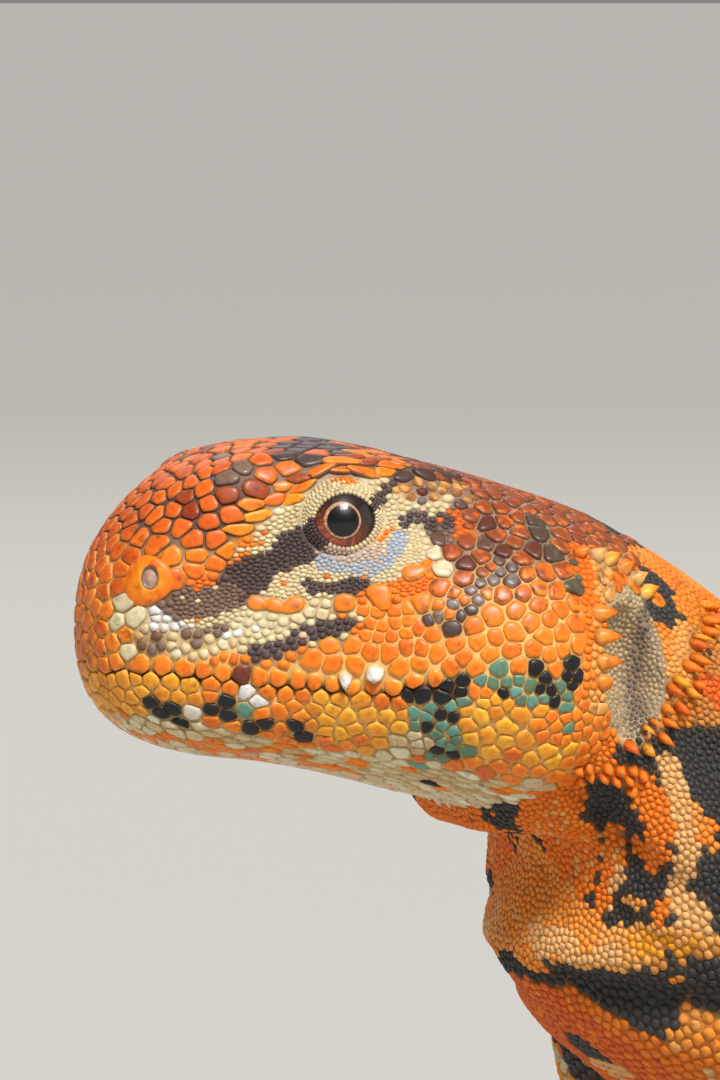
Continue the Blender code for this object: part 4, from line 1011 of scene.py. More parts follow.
earCones = {
    "place": 0.0334, "aim": (0.96, 0.18), "size": 0.0015,
    "rows": ((0.0038, 0.0013), (0.0022, 0.0014), (0.0006, 0.0013), (-0.0009, 0.0005)),
    "arc": ((0.033, 0.0056), (0.0343, 0.0054), (0.0355, 0.005), (0.0366, 0.0044), (0.0376, 0.0036),
            (0.0384, 0.0026)),
    "arcAim": (0.8, 0.3, 0.45), "arcLength": 0.0009, "arcSize": 0.00115,
    "arcTints": ("orange", "paleOrange", "amber"),
}
lips = {  # two rows of lip scales, the row under the eye (back, height, size, stretch) and two white points
    "from": 0.0012, "to": 0.0222, "step": 0.00124, "jitter": (0.00016, 0.0001, 0.00016),
    "upperRise": 0.00055, "upperSize": 0.00122,
    "lowerBack": 0.0005, "lowerDrop": 0.00062, "lowerSize": 0.00112,
    "pointedFrom": 0.01, "pointedOver": 0.003, "pointed": 0.0004, "clear": 0.00034, "end": 0.0228,
    "underEye": ((0.0099, 0.0027, 0.00125, 1.0), (0.0111, 0.0025, 0.0012, 1.0), (0.0125, 0.0026, 0.0014, 1.1),
                 (0.0157, 0.0026, 0.0016, 1.3), (0.018, 0.0032, 0.0018, 1.3), (0.0204, 0.0046, 0.0016, 1.2)),
    "white": ((0.0154, -0.0026), (0.0172, -0.0022)), "whiteSize": 0.00135, "whiteLean": (0.0003, 0.0008),
}
napeCones = {  # rows: place along the spine, first and last angle, count, length, size
    "aim": (0.62, 0.74), "tints": ("orange", "amber", "deepOrange", "orange"),
    "clumpAim": (0.5, 0.7), "clumpLength": 0.0007, "clumpSize": 0.001,
    "rows": ((0.0392, 36, 104, 15, 0.0014, 0.0011), (0.0406, 76, 102, 6, 0.0012, 0.001)),
    "clump": ((0.0376, 121), (0.0384, 119), (0.0392, 121), (0.04, 118), (0.0408, 116), (0.0396, 115),
              (0.0404, 113), (0.0414, 113), (0.041, 110), (0.0418, 109), (0.0422, 115), (0.0388, 124)),
}


def lidPlace(side, turns, offset, rise):
    # a place on a lid: turns round the opening, degrees out from its edge, height over the eyeball
    along, outward, across = aimedAxes(side, eyePlace["aim"])
    x = lids["halfLength"] * np.cos(turns)
    y = lids["halfHeight"] * np.sin(turns) * (1 - lids["corner"] * np.cos(turns) ** 2)
    reach = np.hypot(x, y)
    angle = np.arcsin(reach / eyePlace["radius"]) + np.radians(offset)
    way = along * (x / reach)[:, None] + across * (y / reach)[:, None]
    radius = eyePlace["radius"] + np.asarray(rise)
    return eyeCentres[side] + (outward * np.cos(angle)[:, None] + way * np.sin(angle)[:, None]) * radius


def headPlace(back, height, side):
    return headPoint(back, *(a[0] for a in headSurface(back, headTurn(back, height))), side)


nostrilCentres = {side: headPlace(*nostrils["place"], side) for side in (1, -1)}


def placeByHand(rng):
    # lips, the row under the eye, cones of the ear and nape: point, size, stretch, dome, gap, lean,
    # sharpness, colour or None, place on the neck or None
    placed = []

    def put(point, size, dome, gap, tint=None, lean=(0, 0, 0), sharp=0, stretch=1.0, neck=None):
        placed.append((point, size, stretch, dome, gap, lean, sharp, tint, neck))

    for side in (1, -1):
        back, left, up = headAxes[0], headAxes[1] * side, headAxes[2]
        for place in np.arange(lips["from"], lips["to"], lips["step"]):
            height = float(mouthHeight(place))
            upper, lower = rng.uniform(-1, 1, (2, 3)) * lips["jitter"]
            pointed = float(clamp((place - lips["pointedFrom"]) / lips["pointedOver"]))
            lean = -up * lips["pointed"] * pointed
            put(headPlace(place + upper[0], height + lips["upperRise"] + upper[1], side),
                lips["upperSize"] + upper[2], 0.24, 0.05, None, lean, 0.7 * pointed)
            put(headPlace(place + lips["lowerBack"] + lower[0], height - lips["lowerDrop"] + lower[1], side),
                lips["lowerSize"] + lower[2], 0.22, 0.05, stretch=1.1)
        for place, height, size, stretch in lips["underEye"]:
            put(headPlace(place, height, side), size, 0.22, 0.07, "orange", stretch=stretch)
        lean = -up * lips["whiteLean"][1] + left * lips["whiteLean"][0]
        for place, height in lips["white"]:
            put(headPlace(place, height, side), lips["whiteSize"], 0.45, 0.05, "white", lean, 0.8)
        aim = back * earCones["aim"][0] + left * earCones["aim"][1]
        for height, length in earCones["rows"]:
            place = headPlace(earCones["place"], skinLook["earCup"][2] + height, side)
            put(place, earCones["size"], 0.3, 0.02, "orange", aim * length, 1)
        aim = sum(axis * share for axis, share in zip((back, left, up), earCones["arcAim"]))
        aim = aim * earCones["arcLength"]
        for k, (place, height) in enumerate(earCones["arc"]):
            tint = earCones["arcTints"][k % 3]
            put(headPlace(place, height, side), earCones["arcSize"], 0.32, 0.03, tint, aim, 1)
        for s, first, last, count, length, size in napeCones["rows"]:
            centre, behind = (a[0] for a in frameAt(s)[:2])
            for k, angle in enumerate(np.linspace(first, last, count)):
                jitter = rng.uniform(-1, 1, 3)
                place = bodySurface(s + jitter[0] * 0.0004, np.radians(angle + jitter[1] * 1.5) * side)[0]
                aim = behind * napeCones["aim"][0] + unit(place - centre) * napeCones["aim"][1]
                reach = length * (0.75 + 0.5 * math.sin(math.pi * k / (count - 1)) + 0.25 * jitter[2])
                tint = napeCones["tints"][k % 4]
                put(place, size, 0.3, 0.03, tint, aim * reach, 1, neck=(s, np.radians(angle) * side))
        for s, angle in napeCones["clump"]:
            centre, behind = (a[0] for a in frameAt(s)[:2])
            turn = np.radians(angle) * side
            place = bodySurface(s, turn)[0]
            aim = behind * napeCones["clumpAim"][0] + unit(place - centre) * napeCones["clumpAim"][1]
            put(place, napeCones["clumpSize"], 0.35, 0.03, "orange", aim * napeCones["clumpLength"], 1,
                neck=(s, turn))
    return placed


def lidGranules():
    # the lids' granules, only where a lid stands clear of the skin
    points, normals = [], []
    for side in (1, -1):
        for row in range(lids["rows"]):
            offset = lids["firstRow"] + row * lids["step"]
            girth = 2 * np.pi * lids["reach"] * math.sin(math.radians(lids["edge"] + offset))
            count = int(girth / (lids["granule"] * lids["apart"]))
            turns = (np.arange(count) + 0.5 * (row % 2)) * 2 * np.pi / count
            rise = float(np.interp(offset, *np.array(lids["outer"]).T)) / 1000
            points.append(lidPlace(side, turns, offset, rise))
            normals.append(unit(points[-1] - eyeCentres[side]))
    points, normals = np.vstack(points), np.vstack(normals)
    places, outward, _ = snapTo(smoothSkin, points, 0.004)
    clear = ((points - places) * outward).sum(1) > lids["least"]
    return points[clear], normals[clear]


charts = {"head": 0.044, "neck": (0.026, 0.034), "trunk": (0.056, 0.13)}  # lengths that the baking maps span
headSeeds = {
    "coarse": 60000, "fine": 420000, "fineBelow": 0.7, "neck": 190000, "neckSpan": (0.0275, 0.0585),
    "neckPlaces": (0.038, 0.05, 0.0585), "neckSizes": (0.42, 0.48, 0.8), "neckShape": (1.2, 0.13, 0.02),
    "lidReach": 0.0068, "farReach": 0.0013, "reach": 0.00035,
    "eyeClear": 0.00345, "nostrilClear": 0.00215, "cupClear": 1.06,
}


def headChart(points):
    back, out, up = headCoordinates(points)
    return np.stack([clamp(back / charts["head"]), (np.arctan2(out, up) / (2 * np.pi)) % 1], 1)


def seedHeadAndNeck(rng):
    look, placed = headSeeds, placeByHand(rng)
    lidPoints, lidNormals = lidGranules()
    headSome = gridSamples(grids["head"], look["coarse"], rng)[0]
    fineSome = gridSamples(grids["head"], look["fine"], rng)[0]
    headSome = np.vstack([headSome, fineSome[headFields(fineSome)[:, 0] < look["fineBelow"]]])
    first, last = (int(np.searchsorted(bodyPlaces, s)) for s in look["neckSpan"])
    neckSome, rows, turns = gridSamples(grids["body"][first:last], look["neck"], rng)
    some = np.vstack([headSome, neckSome])
    isNeck = np.arange(len(some)) >= len(headSome)
    plain = np.zeros(len(headSome))
    placeS = np.concatenate([plain, placeOf(rows + first)])
    placeTurn = np.concatenate([plain, turns * 2 * np.pi])
    fromEye = np.min([np.linalg.norm(some - centre, axis=1) for centre in eyeCentres.values()], axis=0)
    reach = np.where(fromEye < look["lidReach"], look["farReach"], look["reach"])
    places, _, keep = snapTo(smoothSkin, some, reach)
    back, out, up = headCoordinates(places)
    keep &= ~((np.abs(up - mouthHeight(back)) < lips["clear"]) & (back < lips["end"]))
    for side in (1, -1):
        keep &= np.linalg.norm(places - eyeCentres[side], axis=1) > look["eyeClear"]
        keep &= np.linalg.norm(places - nostrilCentres[side], axis=1) > look["nostrilClear"]
        cup = (places - headPoint(*skinLook["earCup"], side)) @ np.array(headAxes).T / skinLook["earHalf"]
        keep &= ~(cup[:, 0] ** 2 + cup[:, 2] ** 2 < look["cupClear"]) | (out * side < skinLook["sideFrom"])
    some, isNeck, placeS, placeTurn = (a[keep] for a in (places, isNeck, placeS, placeTurn))
    order = rng.permutation(len(some))
    some, isNeck, placeS, placeTurn = (a[order] for a in (some, isNeck, placeS, placeTurn))
    neckSize = np.interp(placeS, look["neckPlaces"], look["neckSizes"])[:, None]
    neckField = np.hstack([neckSize, np.tile(look["neckShape"], (len(some), 1))])
    fields = np.where(isNeck[:, None], neckField, headFields(some))

    own, extra = list(zip(*placed)), len(lidPoints)
    handmade, fixed = len(placed), len(placed) + extra

    def joined(column, lid, rest):
        return np.concatenate([column, np.full(extra, lid), rest])

    points = np.vstack([np.array(own[0]), lidPoints, some])
    size = joined(own[1], lids["granule"], fields[:, 0] / 1000)
    stretch = joined(own[2], 1.0, fields[:, 1])
    dome = joined(own[3], 0.06, fields[:, 2])
    gap = joined(own[4], 0.012, fields[:, 3])
    onNeck = joined([place is not None for place in own[8]], False, isNeck)
    s = joined([place[0] if place else 0 for place in own[8]], 0, placeS)
    turn = joined([place[1] if place else 0 for place in own[8]], 0, placeTurn)
    # along: the way a scale is stretched, back along the head or down the neck
    along = np.where(onNeck[:, None], frameAt(s)[1], headAxes[0])
    kept = scatter(points, size, stretch, along, fixed)
    points, size, stretch, dome, gap, onNeck, s, turn, along = (
        a[kept] for a in (points, size, stretch, dome, gap, onNeck, s, turn, along))
    points = settle(points, size, stretch, along, fixed, smoothSkin, 5)
    points[handmade:fixed] = lidPoints
    _, normals, _ = snapTo(smoothSkin, points, 0.01)
    normals[handmade:fixed] = lidNormals

    pairs = zip(paintHead(points, rng), paintBody(s, turn, points, rng))
    colour, seam, stain = (np.where(onNeck[:, None] if a.ndim > 1 else onNeck, b, a) for a, b in pairs)
    lean, sharp = np.zeros((len(points), 3)), np.zeros(len(points))
    lean[:handmade], sharp[:handmade] = np.array(own[5]), own[6]
    for k, tint in enumerate(own[7]):
        if tint:
            colour[k], stain[k] = palette[tint], 0.12
    neckChart = np.stack([clamp((s - charts["neck"][0]) / charts["neck"][1]), (turn / (2 * np.pi)) % 1], 1)
    chart = np.where(onNeck[:, None], neckChart, headChart(points))
    region = np.where(onNeck, "neck", "head")
    addSeeds(region, points, normals, size, stretch, dome, gap, colour, seam, stain, chart,
             lean, sharp, along)
    print("head scales:", int((~onNeck).sum()), "neck scales:", int(onNeck.sum()))


cupGrain = {"size": 0.00038, "dome": 0.5, "gap": 0.015, "tries": 9000, "within": 0.94, "from": 0.006,
            "reach": 0.012}


def seedEarCups(rng):
    # granules over the floor of each ear's cup, sandy in front and grey along the back
    cup, half = skinLook["earCup"], skinLook["earHalf"]
    for side in (1, -1):
        flat = rng.uniform(-1, 1, (cupGrain["tries"], 2))
        flat = flat[(flat**2).sum(1) < cupGrain["within"]]
        out = np.full(len(flat), cup[1] + cupGrain["from"])
        starts = headPoint(cup[0] + flat[:, 0] * half[0], out, cup[2] + flat[:, 1] * half[2], side)
        places, normals, kept = [], [], []
        for k, start in enumerate(starts):
            inward = Vector(-headAxes[1] * side)
            place, normal, _, _ = shapedSkin.ray_cast(Vector(start), inward, cupGrain["reach"])
            if place is not None:
                places.append(place)
                normals.append(normal)
                kept.append(k)
        places, normals, flat = np.array(places), np.array(normals), flat[kept]
        sizes, ones = np.full(len(places), cupGrain["size"]), np.ones(len(places))
        picked = scatter(places, sizes, ones, np.tile(headAxes[2], (len(places), 1)), 0)
        places, normals, flat = places[picked], normals[picked], flat[picked]
        rear = np.exp(-(((flat[:, 0] - 0.42 - 0.25 * flat[:, 1]) / 0.2) ** 2)) * (flat[:, 1] < 0.75)
        low = clamp((-flat[:, 1] - 0.45) * 1.6)
        grey = clamp(rear + low * 0.8 + rng.normal(0, 0.12, len(places)))[:, None]
        sandy = blend(palette["sand"], palette["cream"], grain(places, 0.0012, 33)[:, None] * 0.5)
        colour = sandy * (1 - grey) + palette["greyBrown"] * grey * 0.85
        addSeeds("head", places, normals, cupGrain["size"], 1.0, cupGrain["dome"], cupGrain["gap"], colour,
                 colour * 0.9, 0.0, headChart(places))


trunkCoat = {"size": 0.00098, "dome": 0.16, "gap": 0.025,
             "bands": ((0.0575, 0.15, 1.0), (0.15, 0.17, 1.12), (0.17, 0.185, 1.32))}
legCoat = {"upper": 0.00118, "lower": 0.00105, "palm": 0.00085, "toe": 0.00074, "dome": 0.22, "gap": 0.03}


def seedTrunk(rng):
    found = []
    for start, end, larger in trunkCoat["bands"]:
        first, last = (int(np.searchsorted(bodyPlaces, s)) for s in (start, end))
        some, rows, turns = rowSamples(grids["body"], trunkCoat["size"] * larger, first, last)
        some = some + rng.normal(0, 0.00007, some.shape)
        places, normals, near = snapTo(smoothSkin, some, 0.0004)
        size = np.full(len(some), trunkCoat["size"] * larger)
        found.append([a[near] for a in (places, normals, rows, turns, size)])
    places, normals, rows, turns, size = (np.concatenate(a) for a in zip(*found))
    s, turn = placeOf(rows), turns * 2 * np.pi
    colour, seam, stain = paintBody(s, turn, places, rng)
    chart = np.stack([(s - charts["trunk"][0]) / charts["trunk"][1], turns % 1], 1)
    region = np.where(s < 0.1, "chest", np.where(s < 0.14, "belly", "hips"))
    along = frameAt(s)[1]
    flank = np.exp(-(((np.degrees(np.minimum(turn, 2 * np.pi - turn)) - 85) / 30) ** 2))
    addSeeds(region, places, normals, size, 1.0, trunkCoat["dome"] + flank * 0.06, trunkCoat["gap"],
             colour, seam, stain, chart, along=along)
    print("trunk scales:", len(places))


def seedLegs(rng):
    total = 0
    parts = [name for name in grids if name not in ("head", "body")]
    for column, name in enumerate(parts):
        leg, _, part = name.split("_")
        grid, spacing = grids[name], legCoat["toe" if part.startswith("toe") else part]
        long = part in ("upper", "lower")
        some, rows, turns = rowSamples(grid, spacing)
        places, normals, found = snapTo(smoothSkin, some + rng.normal(0, 0.00006, some.shape), 0.0004)
        places, normals, rows, turns = (a[found] for a in (places, normals, rows, turns))
        colour, seam, stain = paintLeg(places, rng)
        chart = np.stack([(column + 0.06 + turns % 1 * 0.88) / len(parts), rows / len(grid)], 1)
        along = np.tile(unit(grid[-1].mean(0) - grid[0].mean(0)), (len(places), 1))
        big = rng.random(len(places)) < (0.1 if leg == "hindleg" and long else 0.0)
        flat = along * spacing * (0.22 if long else 0.1)
        lean = np.where(big[:, None], normals * 0.0005 + along * 0.0004, flat)
        addSeeds(f"{leg}s", places, normals, spacing * (1 + 0.35 * big), 1.0, legCoat["dome"], legCoat["gap"],
                 colour, seam, stain, chart, lean, np.where(big, 0.8, 0.25), along)
        total += len(places)
    print("leg scales:", total)


seedHeadAndNeck(np.random.default_rng(11))
seedEarCups(np.random.default_rng(17))
seedTrunk(np.random.default_rng(12))
seedLegs(np.random.default_rng(13))

# All the seeds together; those of the trunk and legs give way where they come too close to others
mergeCloseness = 0.62
seeds = {key: np.concatenate([part[key] for part in seedParts]) for key in seedParts[0]}
fixed = int(np.isin(seeds["region"], ("head", "neck")).sum())
kept = scatter(seeds["point"], seeds["size"], np.ones(len(seeds["size"])), seeds["along"], fixed,
               mergeCloseness)
seeds = {key: values[kept] for key, values in seeds.items()}


def cellAxes(own):
    normal = unit(own["normal"])
    first = unit(own["along"] - normal * (own["along"] * normal).sum(1, keepdims=True))
    return normal, first, np.cross(normal, first)


def cellRadii(own, near, first, second, around):
    # how far each scale reaches in every direction before it meets its neighbours
    away = seeds["point"][near] - own["point"][:, None]
    facing = (seeds["normal"][near] * own["normal"][:, None]).sum(2) > 0.1
    x = (away * first[:, None]).sum(2) / own["stretch"][:, None]
    y = (away * second[:, None]).sum(2)
    size, others = own["size"][:, None], seeds["size"][near]
    share = size / (size + others)
    reach2 = x * x + y * y
    radii = np.empty((len(near), around))
    for k, turn in enumerate(evenTurns(around)):
        toward = x * math.cos(turn) + y * math.sin(turn)
        limit = np.where((toward > 1e-6) & facing, reach2 * share / np.maximum(toward, 1e-6), 9.0)
        radii[:, k] = np.minimum(limit.min(1), size[:, 0] * 0.98)
    soft = (np.roll(radii, 1, 1) + np.roll(radii, -1, 1)) / 2
    radii = np.minimum(radii, soft * 0.25 + radii * 0.75)
    return radii * (1 - 2 * own["gap"][:, None])


plateForms = {  # rings from the rim to the crown: share of the reach, of the height and of the colour
    "large": {"around": 16,
              "rings": ((1.0, -1, 0.0), (0.985, 0.4, 0.35), (0.89, 0.8, 0.95), (0.58, 0.97, 1.0))},
    "small": {"around": 7, "rings": ((1.0, -1, 0.35), (0.86, 0.72, 0.95))},
}
plateLook = {  # rim's depth and curve, pull of a lean, narrowing of a point, least heights over the floor
    "rim": 0.0001, "curve": 0.008, "pull": 0.62, "point": 0.42,
    "rimFloor": 0.00032, "crownFloor": 0.00002, "slopeFloor": 0.00012,
}
patchSize = 0.003


def solidMesh(name, points, triangles):
    mesh = bpy.data.meshes.new(name)
    mesh.vertices.add(len(points))
    mesh.vertices.foreach_set("co", np.asarray(points, np.float32).ravel())
    mesh.loops.add(len(triangles) * 3)
    mesh.loops.foreach_set("vertex_index", np.asarray(triangles, np.int32).ravel())
    mesh.polygons.add(len(triangles))
    mesh.polygons.foreach_set("loop_start", np.arange(0, len(triangles) * 3, 3, dtype=np.int32))
    mesh.update(calc_edges=True)
    mesh.shade_smooth()
    return addObject(name, mesh)


def gridFaces(rows, columns, closed=False, caps=False):
    # triangles over rings of points; closed joins the last ring to the first
    faces = []
    for i in range(rows if closed else rows - 1):
        for j in range(columns):
            below, after = (i + 1) % rows * columns, (j + 1) % columns
            a, b, c, d = i * columns + j, i * columns + after, below + after, below + j
            faces += [(a, b, c), (a, c, d)]
    if caps:
        last = (rows - 1) * columns
        faces += [(0, k + 1, k) for k in range(1, columns - 1)]
        faces += [(last, last + k, last + k + 1) for k in range(1, columns - 1)]
    return faces


def repeated(faces, times, step):
    # the same triangles for many pieces of step points each
    return (np.array(faces)[None] + np.arange(times)[:, None, None] * step).reshape(-1, 3)


def setTone(mesh, colours, stains=None):
    # the colour of each vertex, in screen values, and how stained it is
    tone = mesh.attributes.new("tone", "FLOAT_COLOR", "POINT")
    rgba = np.ones((len(mesh.vertices), 4), np.float32)
    rgba[:, :3] = screenToLinear(colours)
    tone.data.foreach_set("color", rgba.ravel())
    stain = mesh.attributes.new("stain", "FLOAT", "POINT")
    values = np.zeros(len(mesh.vertices)) if stains is None else stains
    stain.data.foreach_set("value", np.asarray(values, np.float32))


def setPatches(mesh, roots, offsets):
    # the map for baking: each scale is a small patch at its root's place on the unwrapped skin
    spots = clamp(roots) * (1 - 2 * patchSize) + patchSize + offsets * patchSize / 2
    corners = readValues(mesh.loops, "vertex_index", 1, np.int32)[:, 0]
    layer = mesh.uv_layers.new(name="OFBake")
    layer.uv.foreach_set("vector", spots[corners].astype(np.float32).ravel())


def makePlates(name, chosen, form):
    around, rings = plateForms[form]["around"], plateForms[form]["rings"]
    own, look = {key: values[chosen] for key, values in seeds.items()}, plateLook
    normal, first, second = cellAxes(own)
    radii = cellRadii(own, near[chosen], first, second, around)
    point, size, lean = own["point"], own["size"], own["lean"]
    stretch, sharp = own["stretch"][:, None], own["sharp"]
    top = own["dome"] * size * 0.5
    turns = evenTurns(around)
    x, y = radii * np.cos(turns) * stretch, radii * np.sin(turns)
    flat = first[:, None] * x[..., None] + second[:, None] * y[..., None]
    broad = np.maximum(np.abs(x).max(1), np.abs(y).max(1))
    layers, colours, patches = [], [], []
    plate, seam = own["colour"], own["seam"]
    warm = clamp((plate[:, :1] - plate[:, 2:]) * 2.5 - 0.3) if form == "large" else 0
    patch = np.stack([x, y], 2) / broad[:, None, None]
    for reach, rise, share in rings:
        if rise < 0:
            height, pull = -(coatDepth + look["rim"] + radii.mean(1) ** 2 / look["curve"]), 0.0
        else:
            height, pull = -coatDepth + (top + coatDepth) * rise, look["pull"] * rise**2
            reach = reach * (1 - look["point"] * sharp * rise)[:, None, None]
        layers.append((point + normal * height[:, None] + lean * pull)[:, None] + flat * reach)
        edge = plate * (1 + warm * np.array((0, 0.06, 0.2))) if share < 1 else plate
        colours.append(np.repeat(blend(seam, edge, share)[:, None], around, 1))
        patches.append(patch * reach)
    apex = point + normal * top[:, None] + lean
    layers.append(apex[:, None])
    colours.append((plate * (1 - warm * np.array((0.02, 0.14, 0.28))))[:, None])
    patches.append(np.zeros((len(chosen), 1, 2)))
    points = np.concatenate(layers, 1)
    colours = clamp(np.concatenate(colours, 1))
    patches = np.concatenate(patches, 1)
    count = points.shape[1]
    faces = gridFaces(len(rings), around)
    lastRing = (len(rings) - 1) * around
    faces += [(lastRing + k, lastRing + (k + 1) % around, count - 1) for k in range(around)]
    faces += [(0, k + 1, k) for k in range(1, around - 1)]
    flatPoints = points.reshape(-1, 3)
    # where the body rests, crowns stop on the floor and rims stay a little over it
    least = [look["rimFloor"] if rise < 0 else look["crownFloor"] + (1 - rise) * look["slopeFloor"]
             for _, rise, _ in rings]
    least = np.append(np.repeat(least, around), look["crownFloor"])
    flatPoints[:, 2] = np.maximum(flatPoints[:, 2], np.tile(least, len(chosen)))
    thing = solidMesh(name, flatPoints, repeated(faces, len(chosen), count))
    stains = np.repeat(own["stain"], count)
    stains[np.tile(np.arange(count) < around, len(chosen))] = 0
    setTone(thing.data, colours.reshape(-1, 3), stains)
    setPatches(thing.data, np.repeat(own["chart"], count, 0), patches.reshape(-1, 2))
    return thing


# Coat of the head and body: normals are smoothed except on the finest granules
near = neighbours(seeds["point"], 14)
smoothed = unit(seeds["normal"] + seeds["normal"][near[:, :6]].sum(1) * 0.35)
onHead, finest, faceSize = seeds["region"] == "head", 0.0004, 0.00075
seeds["normal"] = np.where((onHead & (seeds["size"] < finest))[:, None], seeds["normal"], smoothed)
coat = []
small = seeds["size"] < faceSize
groups = {"coat_head": onHead & ~small, "coat_face": onHead & small}
for name in ("neck", "chest", "belly", "hips", "forelegs", "hindlegs"):
    groups[f"coat_{name}"] = seeds["region"] == name
for name, mask in groups.items():
    some = np.flatnonzero(mask)
    coat.append(makePlates(name, some, "large" if name == "coat_head" else "small"))
    print(name, len(some), "scales,", len(coat[-1].data.polygons), "triangles")

# Tail: whorls of keeled plates that end in points over the next whorl, with smooth rows beneath
tail = {
    "whorls": 24, "from": 0.184, "to": 0.319, "shrink": 0.58, "spinesShrink": 0.52, "vary": 0.3,
    "plateWidth": 0.0033, "spinesEnd": 126, "spinesFade": 22, "keel": 0.0015, "overhang": 0.0021,
    "bands": 3.4,
    "across": (-0.96, -0.68, -0.34, 0.0, 0.34, 0.68, 0.96), "along": (0.03, 0.26, 0.5, 0.72, 0.88, 0.97),
    # along a plate: rise and breadth of the keel, overhang, how much narrower, thickness
    "lift": (0.06, 0.24, 0.56, 0.96, 1.28, 1.38), "breadth": (0.8, 0.72, 0.6, 0.46, 0.34, 0.24),
    "over": (0, 0, 0.02, 0.14, 0.48, 1.0), "narrow": (0, 0, 0, 0.03, 0.14, 0.3),
    "plain": (0.2, 0.8, 1.0, 1.0, 0.8, 0.3), "thick": 0.00022, "sunk": 0.00045,
    "pieces": (("coat_tail_1", 0, 8), ("coat_tail_2", 8, 16), ("coat_tail_3", 16, 24)),
}


def whorlEdges():
    edges = np.concatenate([[0], np.cumsum(np.linspace(1, tail["shrink"], tail["whorls"]))])
    return tail["from"] + edges / edges[-1] * (tail["to"] - tail["from"])


def tailPlates(rng):
    # start and end along the spine, middle turn, half turn, size of the point and whorl for every plate
    rows = []
    edges = whorlEdges()
    for k in range(tail["whorls"]):
        start, end = edges[k] - 0.0002, edges[k + 1]
        shrink = 1 - tail["spinesShrink"] * k / (tail["whorls"] - 1)
        half, tall, deep, _, _ = readTable(bodyTable, [(start + end) / 2])
        girth = 2 * np.pi * float(np.sqrt((half**2 + ((tall + deep) / 2) ** 2) / 2)[0])
        width = tail["plateWidth"] * (0.55 + 0.45 * shrink)
        count = max(9, int(girth / width))
        for j in range(count):
            turn = (j + 0.5 * (k % 2)) / count * 2 * np.pi
            angle = np.degrees(min(turn % (2 * np.pi), 2 * np.pi - turn % (2 * np.pi)))
            spiny = clamp((tail["spinesEnd"] - angle) / tail["spinesFade"])
            size = spiny * shrink * (1 + tail["vary"] * (rng.random() - 0.5))
            if spiny > 0.05:
                rows.append((start, end, turn, np.pi / count, size, k))
            else:
                middle = (start + end) / 2
                rows.append((start, middle, turn, np.pi / count, 0.0, k))
                rows.append((middle, end, turn + np.pi / count, np.pi / count, 0.0, k))
    return np.array(rows)


